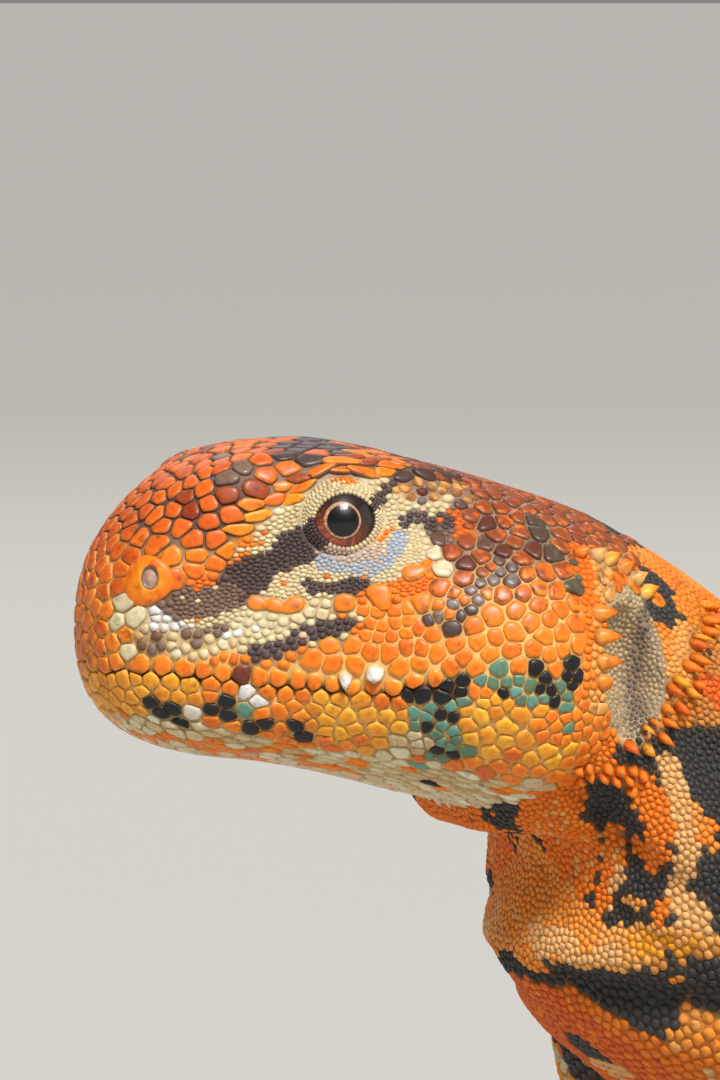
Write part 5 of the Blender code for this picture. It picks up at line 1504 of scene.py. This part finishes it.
def makeTailCoat(rng):
    rows = tailPlates(rng)
    start, end, middle, half, size, whorl = rows.T
    across, along, lift, breadth, over, narrow, plain = (
        np.array(tail[key]) for key in ("across", "along", "lift", "breadth", "over", "narrow", "plain"))
    rowsAlong, rowsAcross = len(along), len(across)
    shape = (len(rows), rowsAlong, rowsAcross)
    ridge = np.exp(-((across[None] / breadth[:, None]) ** 2)) - math.exp(-1.4)
    ridge = clamp(ridge / ridge.max(1, keepdims=True))[None]
    s = np.broadcast_to(start[:, None, None] + (end - start)[:, None, None] * along[None, :, None], shape)
    narrow = 1 - narrow[None, :, None] * (size[:, None, None] > 0)
    turn = np.broadcast_to(middle[:, None, None] + half[:, None, None] * across * narrow, shape)
    surface = bodySurface(s.ravel(), turn.ravel()).reshape(*shape, 3)
    centre, back, _, _ = frameAt(s.ravel())
    outward = unit(surface.reshape(-1, 3) - centre).reshape(surface.shape)
    back = back.reshape(surface.shape)
    big = size[:, None, None]
    plain = tail["thick"] * plain[None, :, None] * (1 - 0.75 * np.abs(across) ** 3)
    rise = lift[None, :, None] * ridge * big * tail["keel"] + plain - 0.00006
    reach = over[None, :, None] * ridge**1.5 * big * tail["overhang"]
    top = surface + outward * rise[..., None] + back * reach[..., None]
    border = [(0, j) for j in range(rowsAcross)] + [(i, rowsAcross - 1) for i in range(1, rowsAlong)]
    border += [(rowsAlong - 1, j) for j in range(rowsAcross - 2, -1, -1)]
    border += [(i, 0) for i in range(rowsAlong - 2, 0, -1)]
    under = np.stack([surface[:, i, j] - outward[:, i, j] * tail["sunk"] for i, j in border], 1)
    tops = rowsAlong * rowsAcross
    points = np.concatenate([top.reshape(len(rows), tops, 3), under], 1)
    faces = []
    for i in range(rowsAlong - 1):
        for j in range(rowsAcross - 1):
            a = i * rowsAcross + j
            faces += [(a, a + rowsAcross, a + rowsAcross + 1), (a, a + rowsAcross + 1, a + 1)]
    flatBorder = [i * rowsAcross + j for i, j in border]
    for k in range(len(border)):
        n = (k + 1) % len(border)
        faces += [(flatBorder[k], flatBorder[n], tops + n), (flatBorder[k], tops + n, tops + k)]
    faces += [(tops, tops + k, tops + k + 1) for k in range(1, len(border) - 1)]
    count = points.shape[1]
    colours = tailTone(rows, rng)
    # painted highlight: each plate is lighter along its keel towards its raised point; painted shade: its
    # sunken border is darker
    light = 0.78 + 0.34 * along[:, None] * ridge[0] + 0.06 * ridge[0]
    shade = np.concatenate([light.ravel(), np.full(len(border), 0.55)])[None, :, None]
    vertex = clamp(colours[:, None] * shade)
    u = (rows[:, 0] - tail["from"]) / (wholeLength - tail["from"])
    roots = np.stack([u, (middle / (2 * np.pi)) % 1], 1)
    local = np.zeros((count, 2))
    spread = np.meshgrid(np.linspace(-1, 1, rowsAlong), np.linspace(-1, 1, rowsAcross), indexing="ij")
    local[:tops] = np.stack(spread, -1).reshape(tops, 2)
    local[tops:] = local[flatBorder]
    least = np.tile(0.00002 + 0.0001 * np.abs(across) ** 3, rowsAlong)
    least = np.concatenate([least, np.full(len(border), 0.00035)])
    pieces = []
    for name, first, last in tail["pieces"]:
        some = np.flatnonzero((whorl >= first) & (whorl < last))
        cloud = points[some].reshape(-1, 3)
        cloud[:, 2] = np.maximum(cloud[:, 2], np.tile(least, len(some)))
        thing = solidMesh(name, cloud, repeated(faces, len(some), count))
        setTone(thing.data, vertex[some].reshape(-1, 3), np.full(len(cloud), 0.2))
        setPatches(thing.data, np.repeat(roots[some], count, 0), np.tile(local, (len(some), 1)))
        pieces.append(thing)
        print(name, len(some), "plates,", len(thing.data.polygons), "triangles")
    return pieces


def tailTone(rows, rng):
    # soft bands of warm sand and brown, dark like the body at the root and paler beneath
    count = len(rows)
    angle = np.degrees(np.minimum(rows[:, 2] % (2 * np.pi), 2 * np.pi - rows[:, 2] % (2 * np.pi)))
    bands = 0.5 + 0.5 * np.cos(rows[:, 5] / tail["bands"] * 2 * np.pi) + rng.normal(0, 0.2, count)
    light = either(rng.random(count) < 0.45, "creamOrange", "ochre")
    dark = either(rng.random(count) < 0.5, "umber", "brown")
    colour = blend(dark, light, clamp((bands - 0.3) / 0.35)[:, None])
    root = (rng.random(count) < clamp(0.75 - rows[:, 5] * 0.16))[:, None] & (angle < 110)[:, None]
    spotted = np.where((rng.random(count) < 0.4)[:, None], palette["orange"], palette["umber"] * 0.85)
    colour = np.where(root, spotted, colour)
    colour = blend(colour, palette["cream"], clamp((angle - 105) / 30)[:, None] * 0.8)
    return clamp(colour * rng.normal(1, 0.06, (count, 1)))


coat += makeTailCoat(np.random.default_rng(14))


def gridPiece(name, grid, closed=False):
    # a smooth closed surface through rings of points, with its faces outward by the sign of its volume
    grid = np.array(grid)
    faces = gridFaces(*grid.shape[:2], closed, not closed)
    return outwardFaces(solidMesh(name, grid.reshape(-1, 3), faces))


def outwardFaces(thing):
    mesh = thing.data
    points, tris = meshPoints(mesh), triangulated(mesh)
    a, b, c = (points[tris[:, k]] - points.mean(0) for k in range(3))
    if (a * np.cross(b, c)).sum() < 0:
        mesh.flip_normals()
    return thing


def makeLids(side, word):
    turns, profile = evenTurns(lids["around"]), lids["outer"] + lids["inner"]
    grid = [lidPlace(side, turns, offset, rise / 1000 - (0.00012 if rise > 0.1 else 0))
            for offset, rise in profile]
    lid = gridPiece(f"lids_{word}", grid, True)
    points = meshPoints(lid.data)
    colour, _, _ = paintHead(points, np.random.default_rng(21))
    rim = np.interp(np.repeat([offset for offset, _ in profile], len(turns)), (2.0, 6.0), (1, 0))
    rim[len(lids["outer"]) * len(turns):] = 1
    setTone(lid.data, blend(colour * 0.9, palette["black"], rim[:, None]))
    return lid


eyeLook = {  # edges of the rings in degrees from the middle of the pupil
    "pupil": 22.0, "ring": 26.0, "iris": 42.0, "lean": (-0.55, -0.04),
    "black": (0.012, 0.012, 0.014), "peach": (0.84, 0.6, 0.44), "copper": (0.78, 0.36, 0.18),
    # the last colour is the iris under the upper lid's painted shadow
    "lidShadowCopper": (0.17, 0.07, 0.05),
}


def makeEye(side, word):
    along, outward, across = aimedAxes(side, eyePlace["aim"])
    tilt = np.concatenate([np.linspace(0.2, 60, 120), np.linspace(62, 179.6, 40)])
    turns = evenTurns(128)
    rings = []
    for angle in np.radians(tilt):
        way = along * np.cos(turns)[:, None] + across * np.sin(turns)[:, None]
        bulge = 1 + 0.035 * math.exp(-((angle / 0.42) ** 2))
        rings.append(eyeCentres[side] + (outward * math.cos(angle) * bulge + way * math.sin(angle))
                     * eyePlace["radius"])
    eye = gridPiece(f"eyeball_{word}", rings)
    points = meshPoints(eye.data)
    angle = np.repeat(tilt, len(turns))
    turn = np.tile(turns, len(tilt))
    x = angle * np.cos(turn) - eyeLook["lean"][0] * 10
    y = angle * np.sin(turn) - eyeLook["lean"][1] * 10
    angle, turn = np.hypot(x, y), np.arctan2(y, x)
    rays = np.abs(np.sin(turn * 37 + 3 * np.sin(turn * 5)) * 0.5 + np.sin(turn * 61 + angle * 0.3) * 0.5)
    # painted shade of the upper lid on the iris: dark copper over its upper and back part, lit copper low and
    # in front
    lower = clamp(0.34 - 0.55 * np.sin(turn) - 0.3 * np.cos(turn))
    black, peach, copper, lidShadowCopper = (
        np.array(eyeLook[key]) for key in ("black", "peach", "copper", "lidShadowCopper"))
    copper = blend(lidShadowCopper, copper, lower[:, None]) * (0.65 + 0.6 * rays)[:, None]

    def over(base, colour, start, end, soft=0.8):
        inside = 1 / (1 + np.exp((start - angle) / soft * 3)) * 1 / (1 + np.exp((angle - end) / soft * 3))
        return blend(base, colour, inside[:, None])

    tone = np.tile(black, (len(points), 1))
    tone = over(tone, copper, eyeLook["ring"], eyeLook["iris"])
    ringWidth = (eyeLook["ring"] - eyeLook["pupil"]) * (0.75 + 0.5 * clamp(np.cos(turn - 2.3)))
    inside = (angle > eyeLook["pupil"]) & (angle < eyeLook["pupil"] + ringWidth)
    tone = np.where(inside[:, None], peach * (0.75 + 0.35 * rays)[:, None], tone)
    setTone(eye.data, clamp(tone))
    return eye


def makeNostril(side, word):
    # a smooth shield round an oval opening that is half closed by a pale fold
    look = nostrils
    along, outward, across = aimedAxes(side, look["aim"])
    centre, turns = nostrilCentres[side], evenTurns(look["around"])
    outer = np.stack([np.cos(turns) * look["half"][0], np.sin(turns) * look["half"][1]], 1)
    outer *= (1 + 0.05 * np.cos(turns * 3 + 0.6))[:, None]
    inner = np.stack([np.cos(turns) * look["opening"][0] + look["openingBack"],
                      np.sin(turns) * look["opening"][1] + look["openingUp"]], 1)
    rings, tones = [], []

    def onSkin(flat):
        return snapTo(smoothSkin, centre + along * flat[:, :1] + across * flat[:, 1:], 0.004)[0]

    for share, height in look["shield"]:
        rise = height if height < 0 else height * look["rise"] - 0.00012
        rings.append(onSkin(blend(outer, inner, share)) + outward * rise)
        edge = 0.6 if share < 0.03 else 1.0
        tones.append(blend(palette["orange"] * edge, palette["amber"], share**4))
    # painted shade: the fold's tones are darkest just inside the opening's lip and in the pit round the fold
    for share, depth, tone in look["fold"]:
        flat = (inner - inner.mean(0)) * share + inner.mean(0)
        rings.append(onSkin(flat) + outward * (look["rise"] * 0.9 + depth * look["pit"]))
        tones.append(palette["pinkGrey"] * tone)
    shieldMesh = gridPiece(f"nostril_{word}", rings)
    points = meshPoints(shieldMesh.data)
    spots = (grain(points, 0.0006, 31) > 0.72)[:, None]
    tone = np.repeat(tones, len(turns), 0)
    tone = np.where(spots & (tone[:, :1] > 0.8), tone * np.array((0.95, 0.72, 0.6)), tone)
    setTone(shieldMesh.data, clamp(tone), np.full(len(points), 0.1))
    return shieldMesh


drum = {
    "half": (0.0013, 0.0028), "thick": 0.0003, "clear": 0.00015, "above": 0.0004,
    "rings": ((0.02, -2), (0.6, -2), (0.97, -1.6), (1, -1), (0.95, -0.4), (0.7, 0), (0.4, -0.05),
              (0.12, -0.15), (0.02, -0.2)),  # share of the half sizes, height in thicknesses
}


def makeDrum(side, word):
    # the ear's drum: a thin dished membrane at the bottom of the cup
    back, out, up = skinLook["earCup"]
    centre = headPoint(back, out - skinLook["earHalf"][1] + drum["above"] + drum["clear"], up, side)
    turns = evenTurns(36)[:, None]
    ring = headAxes[0] * np.cos(turns) * drum["half"][0] + headAxes[2] * np.sin(turns) * drum["half"][1]
    outward = headAxes[1] * side
    made = gridPiece(f"drum_{word}", [centre + ring * share + outward * height * drum["thick"]
                                      for share, height in drum["rings"]])
    points = meshPoints(made.data)
    setTone(made.data, palette["sand"] * (0.62 + 0.4 * grain(points, 0.0004, 41))[:, None])
    return made


def makeClaws():
    # curved dark claws, all in one mesh
    around, steps = claws["around"], claws["steps"]
    turns, upward = evenTurns(around)[:, None], np.array((0, 0, 1.0))
    points, tones = [], []
    for start, aimed, thick in clawStarts:
        side = unit(np.cross(aimed, upward))
        for k in range(steps):
            t = k / (steps - 1)
            height = start[2] * (1 - t**2) + claws["tip"] * t**2 + claws["arch"] * math.sin(math.pi * t)
            centre = (start + aimed * claws["length"] * (t * 1.1 - 0.1)) * (1, 1, 0) + upward * height
            radius = max(thick * (1 - t) ** 0.72, 0.00004)
            ring = centre + (side * np.sin(turns) * 0.72 + upward * np.cos(turns)) * radius
            ring[:, 2] = np.maximum(ring[:, 2], 0.00003)
            points.append(ring)
            tones.append(np.tile(palette["horn"] * (1.5 - 0.7 * t), (around, 1)))
    faces = repeated(gridFaces(steps, around, caps=True), len(clawStarts), steps * around)
    made = outwardFaces(solidMesh("claws", np.vstack(points), faces))
    setTone(made.data, clamp(np.vstack(tones)), np.full(len(made.data.vertices), 0.2))
    return made


skinTone = {"tailAfter": 0.001, "mouth": 0.0003, "cup": 1.15}  # half width of the mouth line, edge of a cup


def paintSkin():
    # the skin takes the seam colour of the scales round it, and its own under the tail and in the ears, with
    # painted shade along the mouth's groove and deeper in the ears' cups
    tree = pointTree(seeds["point"])
    near = np.array([[i for _, i, _ in tree.find_n(Vector(p), 3)] for p in skinPoints])
    tone = seeds["seam"][near].mean(1)
    back, out, up = headCoordinates(skinPoints)
    speck = grain(skinPoints, 0.0005, 51)[:, None]
    onTail = skinPoints[:, 0] > frameAt(tail["from"] + skinTone["tailAfter"])[0][0, 0]
    tone = painted(tone, onTail, "greyBrown", 0.8)
    # painted shade in the mouth's groove: a dark umber line along it
    mouth = (np.abs(up - mouthHeight(back)) < skinTone["mouth"]) & (back < mouthLine[-1][0])
    tone = painted(tone, mouth, "umber", 0.75)
    for side in (1, -1):
        centre = headPoint(*skinLook["earCup"], side)
        local = (skinPoints - centre) @ np.array(headAxes).T / skinLook["earHalf"]
        cup = (local[:, 0] ** 2 + local[:, 2] ** 2 < skinTone["cup"]) & (out * side > skinLook["sideFrom"])
        # painted shade: the cup is painted darker the deeper it goes
        depth = np.clip(1.15 + local[:, 1] * side * 0.25, 0.8, 1.2)[:, None]
        inner = (palette["sand"] * (0.75 + 0.4 * speck)) * depth
        grey = clamp(local[:, :1] * 1.3) * 0.6
        inner = blend(inner, palette["greyBrown"] * depth, grey)
        tone = np.where(cup[:, None], inner, tone)
    setTone(skin.data, clamp(tone))


paintSkin()
things = {"skin": skin, "claws": makeClaws()}
for side, word in ((1, "left"), (-1, "right")):
    things[f"lids_{word}"] = makeLids(side, word)
    things[f"eyeball_{word}"] = makeEye(side, word)
    things[f"nostril_{word}"] = makeNostril(side, word)
    things[f"drum_{word}"] = makeDrum(side, word)
print("skin, lids, eyes, nostrils, drums and claws made")

# Finishes: roughness, coat and its roughness, specks and their depth, strength, scale and depth of the bumps
finishes = {
    "scale": (0.42, 0.16, 0.2, 2600, 0.2, 0.3, 3800, 0.00003),
    "granule": (0.58, 0.04, 0.35, 3200, 0.16, 0.3, 5200, 0.00002),
    "skin": (0.6, 0.05, 0.4, 2400, 0.22, 0.6, 4200, 0.00005),
    "tail": (0.55, 0.08, 0.35, 1700, 0.28, 0.5, 2600, 0.00006),
    "horn": (0.35, 0.2, 0.25, 1500, 0.35, 0.4, 2800, 0.00003),
    "eye": (0.35, 0.55, 0.04, 5200, 0.1, 0.02, 5200, 0.00001),
    "drum": (0.45, 0.15, 0.3, 2600, 0.25, 0.3, 3000, 0.00003),
}


def addNode(tree, kind, settings=(), inputs=(), links=()):
    # a shader node with its settings, the values of its inputs, and what is linked into it
    made = tree.nodes.new("ShaderNode" + kind)
    for name, value in dict(settings).items():
        setattr(made, name, value)
    connect(tree, made, inputs, links)
    return made


def connect(tree, node, inputs, links):
    for key, value in dict(inputs).items():
        node.inputs[key].default_value = value
    for key, source, out in links:
        tree.links.new(source.outputs[out], node.inputs[key])


def makeFinish(name):
    rough, coat, coatRough, speckSize, speckDepth, bumpStrength, bumpSize, bumpDepth = finishes[name]
    material = bpy.data.materials.new(f"lizard_{name}")
    material.use_nodes = True
    tree = material.node_tree
    place = addNode(tree, "TexCoord")

    def noise(size, detail):
        return addNode(tree, "TexNoise", (), {"Scale": size, "Detail": detail}, [("Vector", place, "Object")])

    tone = addNode(tree, "Attribute", {"attribute_name": "tone"})
    stain = addNode(tree, "Attribute", {"attribute_name": "stain"})
    speck, blot, ripple = noise(speckSize, 3.0), noise(1500, 4.0), noise(bumpSize, 2.0)
    shade = addNode(tree, "MapRange", (), {"From Min": 0.3, "From Max": 0.7, "To Min": 1 - speckDepth,
                                           "To Max": 1 + speckDepth * 0.5}, [("Value", speck, "Fac")])
    lit = addNode(tree, "VectorMath", {"operation": "SCALE"}, (),
                  [(0, tone, "Color"), ("Scale", shade, "Result")])
    # the stain spreads where the noise is high
    reach = addNode(tree, "Math", {"operation": "MULTIPLY_ADD"}, {1: 0.55, 2: -0.6}, [(0, stain, "Fac")])
    spread = addNode(tree, "Math", {"operation": "ADD"}, (), [(0, reach, "Value"), (1, blot, "Fac")])
    stained = addNode(tree, "MapRange", (), {"From Min": 0.02, "From Max": 0.22, "To Max": 0.7},
                      [("Value", spread, "Value")])
    mix = addNode(tree, "Mix", {"data_type": "RGBA"}, {"B": (*screenToLinear(palette["stain"]), 1)},
                  [("Factor", stained, "Result"), ("A", lit, "Vector")])
    roughness = addNode(tree, "MapRange", (), {"To Min": rough - 0.1, "To Max": rough + 0.12},
                        [("Value", speck, "Fac")])
    bump = addNode(tree, "Bump", (), {"Strength": bumpStrength, "Distance": bumpDepth},
                   [("Height", ripple, "Fac")])
    connect(tree, tree.nodes["Principled BSDF"],
            {"Specular IOR Level": 0.35, "Coat Weight": coat, "Coat Roughness": coatRough},
            [("Base Color", mix, "Result"), ("Roughness", roughness, "Result"), ("Normal", bump, "Normal")])
    return material


materials = {name: makeFinish(name) for name in finishes}
finishFor = (  # how a piece's name starts, its finish, its slot
    ("eyeball", "eye", "eye"), ("drum", "drum", "ear_drum"), ("claws", "horn", "hide"),
    ("coat_tail", "tail", "hide"), ("coat_head", "scale", "hide"), ("nostril", "scale", "hide"),
    ("skin", "skin", "hide"), ("", "granule", "hide"),
)
for thing in [*things.values(), *coat]:
    finish, slot = next(row[1:] for row in finishFor if thing.name.startswith(row[0]))
    thing.data.materials.clear()
    thing.data.materials.append(materials[finish])
    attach(thing, "root")

fleshNodes = [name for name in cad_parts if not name.startswith(("eye_", "ear_"))]
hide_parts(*fleshNodes)
for word in ("left", "right"):
    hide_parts(f"eye_{word}")
    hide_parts(f"ear_{word}")

# Studio: a wide pale floor, soft lights and the camera at the photograph's angle
studio = {
    "floor": 30.0, "floorSides": 64, "floorRough": 0.9, "floorTone": (0.77, 0.76, 0.74), "world": 0.42,
    "sun": 2.6, "sunAngle": 14, "sunFrom": (-0.1, -0.7, 0.9), "azimuth": -30, "elevation": 5,
    "distance": 0.45, "frameHeight": 0.0758, "aim": (0.00145, -0.00133), "clip": (0.01, 100),
    "lights": (("key", (-0.35, -0.55, 0.75), 0.22, 3.0), ("fill", (0.7, -0.7, 0.35), 0.8, 1.2),
               ("rim", (0.15, 0.7, 0.65), 0.6, 1.5)),
}


def makeStudio():
    floorTone = (*screenToLinear(studio["floorTone"]), 1)
    rim = [(studio["floor"] * math.cos(a), studio["floor"] * math.sin(a), 0)
           for a in evenTurns(studio["floorSides"])]
    floor = meshObject("floor", rim, [tuple(range(len(rim)))], False)
    material = bpy.data.materials.new("studio_floor")
    material.use_nodes = True
    shader = material.node_tree.nodes["Principled BSDF"]
    shader.inputs["Base Color"].default_value = floorTone
    shader.inputs["Roughness"].default_value = studio["floorRough"]
    floor.data.materials.append(material)
    scene = bpy.context.scene
    scene.view_settings.view_transform = "Standard"
    scene.view_settings.look = "None"
    world = bpy.data.worlds.new("studio")
    world.use_nodes = True
    background = world.node_tree.nodes["Background"]
    background.inputs["Color"].default_value = floorTone
    background.inputs["Strength"].default_value = studio["world"]
    scene.world = world
    target = Vector(eyeCentres[1])
    for name, place, size, power in studio["lights"]:
        lamp = addObject(name, bpy.data.lights.new(name, "AREA"))
        lamp.data.size, lamp.data.energy = size, power
        lamp.location = place
        lamp.rotation_euler = (target - Vector(place)).to_track_quat("-Z", "Y").to_euler()
    sun = addObject("sun", bpy.data.lights.new("sun", "SUN"))
    sun.data.energy, sun.data.angle = studio["sun"], math.radians(studio["sunAngle"])
    sun.rotation_euler = Vector(studio["sunFrom"]).to_track_quat("Z", "Y").to_euler()
    turn, lift = math.radians(studio["azimuth"]), math.radians(studio["elevation"])
    back = Vector((math.sin(turn) * math.cos(lift), -math.cos(turn) * math.cos(lift), math.sin(lift)))
    right = Vector((math.cos(turn), math.sin(turn), 0))
    up = back.cross(right)
    camera = addObject("camera", bpy.data.cameras.new("camera"))
    camera.location = target + right * studio["aim"][0] + up * studio["aim"][1] + back * studio["distance"]
    camera.rotation_euler = Matrix((right, up, back)).transposed().to_euler()
    camera.data.lens = camera.data.sensor_width * studio["distance"] / studio["frameHeight"]
    camera.data.clip_start, camera.data.clip_end = studio["clip"]
    scene.camera = camera


makeStudio()
total = sum(len(triangulated(o.data)) for o in [*things.values(), *coat])
print("pieces:", len(things) + len(coat), "triangles:", total)
